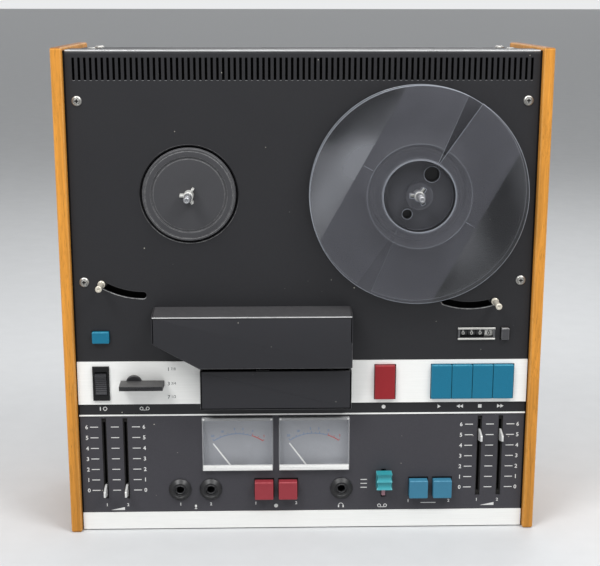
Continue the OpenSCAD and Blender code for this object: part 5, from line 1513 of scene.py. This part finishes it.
@dataclass
class Faders:
    """Four bright fader levers and the green sound lever."""

    levers: tuple[str, ...] = ("left_input_fader", "right_input_fader", "left_output_fader",
                               "right_output_fader")
    tip: float = 2.4
    base: float = 5.0
    tab: float = 3.0
    sound: tuple[float, float] = (69.6, 45.6)
    sound_half: tuple[float, float] = (6.9, 7.0)
    waist: float = 1.3

    def build(self) -> None:
        """Makes each lever from its CAD node's box, then the sound lever."""
        for node in self.levers:
            low, high = node_box(node)
            z = (low[2] + high[2]) / 2
            front, back, root = low[1], high[1], DECK_Y + 1.7
            outline = eased([[front, z - self.tip], [DECK_Y - 1, z - self.base], [root, z - self.base],
                             [root, z - self.tab], [back, z - self.tab], [back, z + self.tab],
                             [root, z + self.tab], [root, z + self.base], [DECK_Y - 1, z + self.base],
                             [front, z + self.tip]],
                            [0.6, 1.0, 0.3, 0.3, 0.5, 0.5, 0.3, 0.3, 1.0, 0.6], 7)
            put(carried(outline, through(low[0], high[0], 0.22), Facing.SIDE), node + "_blade", node,
                LEVER_PLATE, [node])
        self.sound_lever()

    def sound_lever(self) -> None:
        """The thumb piece: a closed outline in depth and height, carried sideways. Its front is hollowed and
        its width drawn in by |sin(pi h / half height)|, so both have two waists between three crests. A pale
        stem holds it."""
        x, zc = self.sound
        hw, hh = self.sound_half
        h = np.linspace(-hh, hh, 61)
        front = np.stack([1.5 * np.abs(np.sin(np.pi * h / hh)) - 11, h], 1)
        outline = np.vstack([front, [[-1.4, hh]], [[-1.4, -hh]]])[::-1]
        outline = outline[np.linalg.norm(outline - np.roll(outline, 1, 0), axis=1) > 1e-6]
        t = np.array([-1, -0.97, -0.9, -0.5, 0, 0.5, 0.9, 0.97, 1])
        shrink = np.array([0.35, 0.1, 0, 0, 0, 0, 0, 0.1, 0.35])
        middle = outline.mean(0)
        rings = outline[None] - np.sign(outline - middle)[None] * shrink[:, None, None]
        width = hw - self.waist * np.abs(np.sin(np.pi * rings[..., 1] / hh))
        points = np.stack([x + t[:, None] * width, DECK_Y + rings[..., 0], zc + rings[..., 1]], -1)
        m, n = points.shape[:2]
        faces = [grid_faces(m, n, False, True), np.arange(n)[None, ::-1], (m - 1) * n + np.arange(n)[None]]
        rub = np.repeat(np.where((t == -0.97) | (t == 0.97), 1.0, 0.0), n)
        put(Shell(points.reshape(-1, 3), faces, rub), "sound_lever_thumb", "sound_lever",
            FINISHES["lever_green"], ["sound_lever"])
        stem = soft_box((x - 1.6, DECK_Y - 1.9, zc - 15.7), (x + 1.6, DECK_Y + 11.6, zc + 0.1), 0.3)
        put(stem, "sound_lever_stem", "sound_lever", STEM_PINK)


@dataclass
class Meter:
    """One level meter: dial, printed scale, needle, clear lens, and a bright foot and corner studs that are
    a painted highlight of the lens's edges.
    """

    side: str
    x: float
    low: float = 54.0
    width: float = 60.8
    height: float = 48.4
    pivot_z: float = 47.0
    scale_r: float = 36.5
    dial: float = -8.9
    needle_length: float = 36.0
    rest: float = 36.0
    blue: tuple[float, float] = (-34.0, 18.0)
    blue_marks: int = 11
    red: tuple[float, float] = (19.0, 36.0)
    red_marks: tuple[float, ...] = (19.3, 27.5, 35.7)
    numbers: tuple[tuple[str, float], ...] = (
        ("20", -32.0), ("10", -19.0), ("5", -4.0), ("3", 6.0), ("0", 18.0))
    red_number: tuple[str, float] = ("3", 33.0)
    number_height: float = 2.1

    def build(self) -> None:
        """Makes the meter's pieces."""
        x, z0, z1, half = self.x, self.low, self.low + self.height, self.width / 2
        face = carried(eased(rectangle(x - half + 0.9, x + half - 0.9, z0 + 0.9, z1 - 0.9), 0.4),
                       through(self.dial, self.dial + 0.4, 0.1))
        put(face, self.side + "_dial", "root", FINISHES["meter_grey"])
        self.scale()
        self.needle()
        lens = self.lens(x, z0, z1, half)
        put(lens, self.side + "_lens", "root", FINISHES["clear_lens"],
            ["meter_lenses"] if self.side == "left" else [])
        # Painted highlight: an opaque white bar along the lens's lower edge and two white studs at its top
        # corners.
        foot = soft_box((x - half + 0.5, DECK_Y - 3.2, z0 + 0.4), (x + half - 0.5, DECK_Y + 1.0, z0 + 4.4),
                        0.5)
        stud = eased([[0, 3.0], [0.9, 3.0], [0.9, 3.3], [0, 3.45]], 0.1, 4, closed=False)
        studs = [turned(x + k * (half - 1.6), z1 - 1.7, stud, steps=24) for k in (-1, 1)]
        put(join([foot, *studs]), self.side + "_lens_highlight", "root", LENS_HIGHLIGHT)
        head = soft_box((x - half + 0.5, DECK_Y - 3.1, z1 - 2.9), (x + half - 0.5, DECK_Y + 6.0, z1 - 0.5),
                        0.4)
        put(head, self.side + "_lens_head", "root", LENS_HEAD)

    def band(self, r0: float, r1: float, start: float, end: float) -> Shell:
        """A flat band of the scale, as a closed outline.

        Args:
            r0: Inner radius.
            r1: Outer radius.
            start: First angle from upright, in degrees.
            end: Last angle.

        Returns:
            The closed shell.
        """
        outer = arc(self.x, self.pivot_z, r1, 90 - end, 90 - start, 40)
        inner = arc(self.x, self.pivot_z, r0, 90 - start, 90 - end, 40)
        ink = [[0, self.dial + 0.35], [0, self.dial + 0.48]]
        return carried(np.vstack([outer, inner]), ink)

    def scale(self) -> None:
        """Prints the arc, its marks and figures in grey-blue, and the end of the scale in red."""
        r = self.scale_r
        blue = [self.band(r, r + 0.45, *self.blue)]
        blue += [self.band(r + 0.3, r + (2.2 if i % 2 == 0 else 1.3), a - 0.35, a + 0.35)
                 for i, a in enumerate(np.linspace(*self.blue, self.blue_marks))]
        blue += [self.figure(text, a, self.number_height) for text, a in self.numbers]
        red = [self.band(r, r + 0.9, *self.red)]
        red += [self.band(r + 0.8, r + 2.4, a - 0.3, a + 0.3) for a in self.red_marks]
        red.append(self.figure(*self.red_number, self.number_height))
        put(join(blue), self.side + "_scale", "root", SCALE_BLUE)
        put(join(red), self.side + "_scale_end", "root", SCALE_RED)

    def figure(self, text: str, angle: float, height: float) -> Shell:
        """A number above the arc: its radius times the sine and cosine of its angle from upright.

        Args:
            text: The number.
            angle: Angle from upright, in degrees.
            height: Height of a figure.

        Returns:
            The closed shells.
        """
        r, a = self.scale_r + 4.6, math.radians(angle)
        x, z = self.x + r * math.sin(a), self.pivot_z + r * math.cos(a)
        return printed(numeral(text, height), x, z, self.dial + 0.42)

    def needle(self) -> None:
        """A blade that narrows from 1.5 to 1.1 mm, turned to the left end of the scale, on a round boss."""
        length, y = self.needle_length, -4.8
        blade = np.array([[-0.75, -4.0], [0.75, -4.0], [0.55, length], [-0.55, length]])
        a = math.radians(self.rest)
        turn = np.array([[math.cos(a), math.sin(a)], [-math.sin(a), math.cos(a)]])
        outline = blade @ turn + [self.x, self.pivot_z]
        boss = eased([[0, -13], [0.8, -13], [0.8, -6.4], [2.2, -6.4], [2.2, -4.4], [0, -4.4]], 0.15, 4,
                     closed=False)
        needle = carried(outline, through(y - 0.8, y, 0.12))
        needle += turned(self.x, self.pivot_z, boss, steps=32)
        node = self.side + "_needle"
        put(needle, node + "_blade", node, FINISHES["needle_white"], [node])

    def lens(self, x: float, z0: float, z1: float, half: float) -> Shell:
        """A cup with a rounded front edge: inner ceiling, inner wall, rear rim, outer wall and front face
        as one profile carried round the window.

        Args:
            x: Middle of the window.
            z0: Its lower edge.
            z1: Its upper edge.
            half: Half its width.

        Returns:
            The closed shell.
        """
        outline = rectangle(x - half + 0.2, x + half - 0.2, z0 + 0.2, z1 - 0.2)
        a = np.linspace(0, np.pi / 2, 6)
        # Painted highlight: the rounded front edge takes the clear finish's pale edge tint.
        edge = np.stack([0.9 * (1 - np.cos(a)), 3.5 - 0.9 * (1 - np.sin(a)), 0.1 + 0.3 * np.sin(2 * a)], 1)
        walls = [[1.8, 1.9, 0], [1.6, 1.9, 0.1], [1.6, -2, 0.1], [0, -2, 0.1], [0, 2.5, 0.1]]
        profile = np.vstack([walls, edge, [[1.5, 3.5, 0]]])
        return carried(outline, profile)


@dataclass
class Sockets:
    """Three jack sockets at the front, four line sockets and the lead bush at the back."""

    jacks: tuple[float, ...] = (-106.0, -79.6, 33.2)
    jack_z: float = 36.4
    lines: tuple[float, ...] = (60.0, 80.0, 100.0, 120.0)
    line_z: float = 70.0
    bush: tuple[float, float] = (-150.0, 70.0)

    def build(self) -> None:
        """Turns each socket about its axis."""
        jack = eased([[0, -26], [6.2, -26], [6.2, -0.02], [9.7, 0.02], [9.7, 0.8], [6.6, 3.4], [6.2, 3.6],
                      [5.6, 3.0], [4.9, 3.0], [4.5, 3.6], [4.1, 3.3], [4.0, 2.6], [4.0, -24], [0, -24]], 0.2,
                     5, closed=False)
        put(join([turned(x, self.jack_z, jack, steps=80) for x in self.jacks]), "jack_nuts", "root",
            JACK_GLOSS, ["jack_sockets"])
        sleeve = eased([[3.2, -23], [3.98, -23], [3.98, 0.9], [3.5, 0.9], [3.2, 0.4]], 0.15)
        put(join([turned(x, self.jack_z, sleeve, looped=True, steps=56) for x in self.jacks]),
            "jack_sleeves", "root", HEAD_STEEL)
        face = node_box("rear_cover")[1][1]
        line = eased([[0, -10], [3.5, -10], [3.5, 0], [6.15, 0], [6.15, 1.4], [4.15, 1.6], [4.15, 10],
                      [3.6, 10], [1.6, 9.4], [1.6, 1], [0, 1]], 0.25, 5, closed=False)
        put(join([turned(x, self.line_z, line + [0, face, 0], Facing.BACK, steps=48) for x in self.lines]),
            "line_sleeves", "root", FINISHES["bright_steel"], ["rear_sockets"])
        grommet = eased([[3.75, -8], [7, -8], [7, 0], [9.5, 0.02], [9.0, 2.4], [3.75, 2.4]], 0.5)
        put(turned(*self.bush, grommet + [0, face, 0], Facing.BACK, looped=True, steps=56), "lead_bush",
            "root", FINISHES["black_rubber"])


@dataclass
class Counter:
    """Four figure drums and the bright bars of their window."""

    x: float = 145.8
    z: float = 174.7
    drums: tuple[str, ...] = ("thousand_drum", "hundred_drum", "ten_drum", "unit_drum")
    figure: tuple[float, float] = (1.25, 3.2)
    phase: float = -0.06
    bar_half: float = 15.85
    bar_z: float = 4.55
    post_x: float = 15.35

    def build(self) -> None:
        """Makes the bars, then each drum with ten figures wrapped round it."""
        x, z = self.x, self.z
        half, bars, posts = self.bar_half, [], []
        for s in (-1, 1):
            bar, post = z + s * self.bar_z, x + s * self.post_x
            bars.append(soft_box((x - half, DECK_Y - 1.7, bar - 0.8), (x + half, DECK_Y, bar + 0.8), 0.5))
            posts.append(soft_box((post - 0.5, DECK_Y - 1.3, z - 4), (post + 0.5, DECK_Y, z + 4), 0.35))
        put(join(bars), "counter_bars", "root", COUNTER_BAR)
        put(join(posts), "counter_posts", "root", HEAD_STEEL)
        for node in self.drums:
            self.drum(node)

    def drum(self, node: str) -> None:
        """One drum turned about the axle. A figure's height becomes an angle: its height over the radius.

        Args:
            node: The drum's CAD node.
        """
        low, high = node_box(node)
        y, z, r = (low[1] + high[1]) / 2, (low[2] + high[2]) / 2, (high[2] - low[2]) / 2
        profile = eased([[1.55, low[0]], [r, low[0]], [r, high[0]], [1.55, high[0]]], 0.25)
        ring = turned(y, z, profile, Facing.SIDE, looped=True, steps=80)
        put(ring, node + "_ring", node, FINISHES[NODE_SLOT[node]], [node])
        middle = (low[0] + high[0]) / 2
        shells = []
        for digit in range(10):
            base = numeral(str(digit), self.figure[1], weight=0.03)
            a = self.phase + base.points[:, 1] / r - digit * math.tau / 10
            radius = r - 0.02 + base.points[:, 2]
            across = middle + self.figure[0] * base.points[:, 0]
            points = np.stack([across, y - radius * np.cos(a), z + radius * np.sin(a)], 1)
            shells.append(Shell(points, base.faces, base.rub))
        slot = "drum_black" if node == "unit_drum" else "drum_white"
        put(join(shells), node + "_figures", node, FINISHES[slot])


@dataclass
class PanelMarks:
    """Printed scales, channel numbers and plain symbols on the front panels."""

    zero_z: float = 36.3
    pitch: float = 9.6
    ticks: tuple[float, ...] = (142.4, 160.4, 178.0)
    figures: tuple[float, ...] = (135.7, 184.3)
    tick: tuple[float, float] = (6.8, 0.7)
    channels: tuple[tuple[float, float, float], ...] = (
        (-169.3, -151.2, 22.8), (-105.9, -79.7, 22.8), (-40.9, -5.9, 23.1), (91.4, 126.6, 24.0),
        (151.1, 169.1, 24.6))
    key_z: float = 110.3
    speeds: tuple[tuple[str, str, float], ...] = (
        ("1", "7/8", 145.4), ("3", "3/4", 132.7), ("7", "1/2", 120.9))
    speed_x: tuple[float, float] = (-113.5, -109.4)
    speed_out: float = 1.25
    out: float = 0.03
    ink: float = 0.03

    def build(self) -> None:
        """Prints the control panel, the deck and the trim strip."""
        put(join(self.panel()), "panel_marks", "root", PANEL_PRINT)
        put(join(self.deck()), "deck_marks", "root", PANEL_PRINT)
        (whole_x, part_x), out = self.speed_x, self.speed_out
        speeds = [printed(numeral(whole, 3.1), whole_x, z, out) for whole, _, z in self.speeds]
        speeds += [printed(numeral(part, 2.3, weight=0.0), part_x, z + 0.2, out)
                   for _, part, z in self.speeds]
        put(join(speeds), "speed_marks", "root", SPEED_PRINT)

    def panel(self) -> list[Shell]:
        """Fader scales with their figures, channel numbers and signs of the control panel.

        Returns:
            The printed shells.
        """
        levels = self.zero_z + self.pitch * np.arange(7)
        marks = [self.bar(s * x, z, *self.tick) for s in (-1, 1) for x in self.ticks for z in levels]
        marks += [printed(numeral(str(k), 3.6), s * x, z, self.out) for s in (-1, 1) for x in self.figures
                  for k, z in enumerate(levels)]
        marks += [printed(numeral(t, 2.7), x, z, self.out) for a, b, z in self.channels
                  for t, x in (("1", a), ("2", b))]
        marks += [self.wedge(-160.2, 19.0), self.wedge(160.2, 20.4), self.disc(-23.4, 20.6, 1.7)]
        marks += [self.microphone(-92.8, 20.2), self.headphones(32.9, 20.4), self.bar(108.9, 22.2, 13, 0.6)]
        marks += [self.bar(52.5, z, 5.5, 0.7) for z in (44.1, 40.5, 36.9)]
        return marks + [self.reels(68.8, 19.9)]

    def deck(self) -> list[Shell]:
        """Transport, power and reel signs in one row of the deck.

        Returns:
            The printed shells.
        """
        z = self.key_z
        return [self.disc(68.6, z, 1.7), self.arrow(116.2, z, 1), self.arrow(132.4, z, -1),
                self.arrow(135.2, z, -1), self.bar(151.0, z, 3.0, 3.0), self.arrow(167.2, z, 1),
                self.arrow(170.0, z, 1), self.bar(-172.0, z, 0.7, 3.4), self.ring(-168.0, z, 1.2, 1.8),
                self.reels(-134.6, z)]

    def flat(self, outline: Array) -> Shell:
        """A thin printed patch."""
        return carried(outline, [[0, self.out - self.ink], [0, self.out + self.ink]])

    def bar(self, x: float, z: float, w: float, h: float) -> Shell:
        """A printed rectangle round a middle point."""
        return self.flat(rectangle(x - w / 2, x + w / 2, z - h / 2, z + h / 2))

    def disc(self, x: float, z: float, r: float) -> Shell:
        """A printed dot."""
        return self.flat(circle(x, z, r, 32))

    def ring(self, x: float, z: float, r0: float, r1: float) -> Shell:
        """A printed ring between two radii."""
        return plate(circle(x, z, r1, 32), [circle(x, z, r0, 32)], self.out - self.ink, self.out + self.ink)

    def arrow(self, x: float, z: float, way: int) -> Shell:
        """A printed triangle that points right for way 1 and left for way -1."""
        corners = np.array([[-1.4 * way, -1.7], [1.4 * way, 0], [-1.4 * way, 1.7]]) + [x, z]
        return self.flat(corners if way > 0 else corners[::-1])

    def wedge(self, x: float, z: float) -> Shell:
        """A printed level wedge."""
        return self.flat(np.array([[x - 6, z - 1.1], [x + 6, z - 1.1], [x + 6, z + 1.5]]))

    def reels(self, x: float, z: float) -> Shell:
        """Two printed rings joined by a line."""
        rings = [self.ring(x + dx, z, 1.0, 1.6) for dx in (-2.6, 2.6)]
        return join([*rings, self.bar(x, z - 1.4, 5.2, 0.5)])

    def microphone(self, x: float, z: float) -> Shell:
        """A printed capsule on a stand."""
        capsule = self.flat(eased(rectangle(x - 0.9, x + 0.9, z - 0.4, z + 2.0), 0.85))
        return join([capsule, self.bar(x, z - 1.1, 0.5, 1.3), self.bar(x, z - 1.8, 2.2, 0.5)])

    def headphones(self, x: float, z: float) -> Shell:
        """A printed half ring over two ear pads."""
        outline = np.vstack([arc(x, z, 2.3, 0, 180, 24), arc(x, z, 1.8, 180, 0, 24)])
        return join([self.flat(outline), *(self.bar(x + dx, z - 0.9, 1.1, 2.0) for dx in (-2.0, 2.0))])


@dataclass
class Chassis:
    """CAD nodes that keep their own shape and get a finish."""

    special: dict[str, Finish] = field(default_factory=lambda: {
        # Painted shade: transport and head plates near black so vents and tape slot look dark; tape heads a
        # dimmer steel.
        "control_panel": DULL_PANEL, "transport_plate": INNER_SHADE, "fader_tracks": TRACK_FELT,
        "tape_heads": HEAD_STEEL, "head_plate": INNER_SHADE, "counter_frame": HEAD_STEEL})

    def build(self) -> None:
        """Gives every CAD node the finish of its material slot, or its special finish above."""
        for name, node in frame["nodes"].items():
            finish = self.special.get(name, FINISHES[NODE_SLOT[name]])
            node.data.materials.clear()
            node.data.materials.append(finish.material())
            log.info("%s: finish %s", name, finish.name)


@dataclass(frozen=True)
class Lamp:
    """A square area light: its place, the point it looks at, its side in metres and its power in watts."""

    name: str
    place: tuple[float, float, float]
    aim: tuple[float, float, float]
    size: float
    power: float

    def hang(self) -> None:
        """Adds the light to the scene."""
        data = bpy.data.lights.new(self.name, "AREA")
        data.size, data.energy = self.size, self.power
        holder = bpy.data.objects.new(self.name, data)
        holder.location = self.place
        holder.rotation_euler = (Vector(self.aim) - Vector(self.place)).to_track_quat("-Z", "Y").to_euler()
        bpy.context.scene.collection.objects.link(holder)


@dataclass
class Studio:
    """Pale floor, soft lights and the camera."""

    place: tuple[float, float, float] = (-0.0278, -1.0074, 0.4435)
    right: tuple[float, float, float] = (0.999664, -0.025906, 0.000933)
    down: tuple[float, float, float] = (-0.00501, -0.228408, -0.973553)
    ahead: tuple[float, float, float] = (0.025434, 0.973221, -0.228461)
    lens: float = 71.0
    floor_half: float = 150.0
    ambient: float = 0.4
    backdrop: Colour = (0.83, 0.84, 0.85, 1.0)
    lamps: tuple[Lamp, ...] = (Lamp("left_box", (-0.8, -0.95, 1.55), (0.0, -0.05, 0.2), 0.7, 18.0),
                               Lamp("right_box", (0.9, -0.85, 1.65), (0.0, -0.05, 0.2), 0.7, 18.0),
                               Lamp("top_box", (0.0, -0.3, 1.9), (0.0, 0.0, 0.2), 0.9, 12.0),
                               Lamp("rear_box", (0.3, 1.1, 1.5), (0.0, 0.0, 0.3), 1.2, 10.0))

    def camera(self) -> None:
        """Sets the camera from the fitted view axes: right, up and backwards are its matrix's columns."""
        data = bpy.data.cameras.new("camera")
        data.lens, data.sensor_width, data.clip_start = self.lens, 36.0, 0.01
        axes = np.column_stack([self.right, -np.array(self.down), -np.array(self.ahead)])
        matrix = np.eye(4)
        matrix[:3, :3], matrix[:3, 3] = axes, self.place
        holder = bpy.data.objects.new("camera", data)
        holder.matrix_world = Matrix(matrix.tolist())
        bpy.context.scene.collection.objects.link(holder)
        bpy.context.scene.camera = holder

    def build(self) -> None:
        """Makes the floor, the world and four area lights."""
        h = self.floor_half / MM
        mesh = bpy.data.meshes.new("floor")
        corners = np.array([[-h, -h, -0.05], [h, -h, -0.05], [h, h, -0.05], [-h, h, -0.05]]) * MM
        mesh.from_pydata(corners.tolist(), [], [[0, 1, 2, 3]])
        floor = bpy.data.objects.new("floor", mesh)
        bpy.context.scene.collection.objects.link(floor)
        mesh.materials.append(PALE_FLOOR.material())
        self.world()
        for lamp in self.lamps:
            lamp.hang()

    def world(self) -> None:
        """Even light for the object, and the backdrop's colour for what the camera and reflections see."""
        world = bpy.data.worlds.new("studio")
        world.use_nodes = True
        bpy.context.scene.world = world
        g = Graph(world.node_tree)
        path = g.add("LightPath")
        seen = g.math("MAXIMUM", path.outputs["Is Camera Ray"], path.outputs["Is Glossy Ray"])
        seen = g.math("MAXIMUM", seen, path.outputs["Is Transmission Ray"])
        strength = g.add("Mix", {0: seen, 2: self.ambient, 3: 1.0}).outputs[0]
        shade = g.add("Background", {"Color": self.backdrop, "Strength": strength})
        g.add("OutputWorld", {0: shade.outputs[0]})


def main() -> None:
    logging.basicConfig(level=logging.INFO, format="%(name)s %(message)s")
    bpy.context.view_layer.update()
    bpy.context.scene.view_settings.view_transform = "Standard"
    studio = Studio()
    studio.camera()
    pieces = [Chassis(), Cabinet(), Deck(), ReelDrive("left", LEFT_AXIS[0]),
              ReelDrive("right", REEL_AXIS[0]), TapeReel(), TensionGuide("left", LEFT_PIVOT, -31.5),
              TensionGuide("right", RIGHT_PIVOT, 18.5), HeadBlock(), PushButtons(), PowerAndSpeed(),
              Faders(), Meter("left", -56.05), Meter("right", 9.45), Sockets(), Counter(), PanelMarks(),
              studio]
    for piece in pieces:
        log.info("building %s", type(piece).__name__)
        piece.build()


if __name__ == "__main__":
    main()
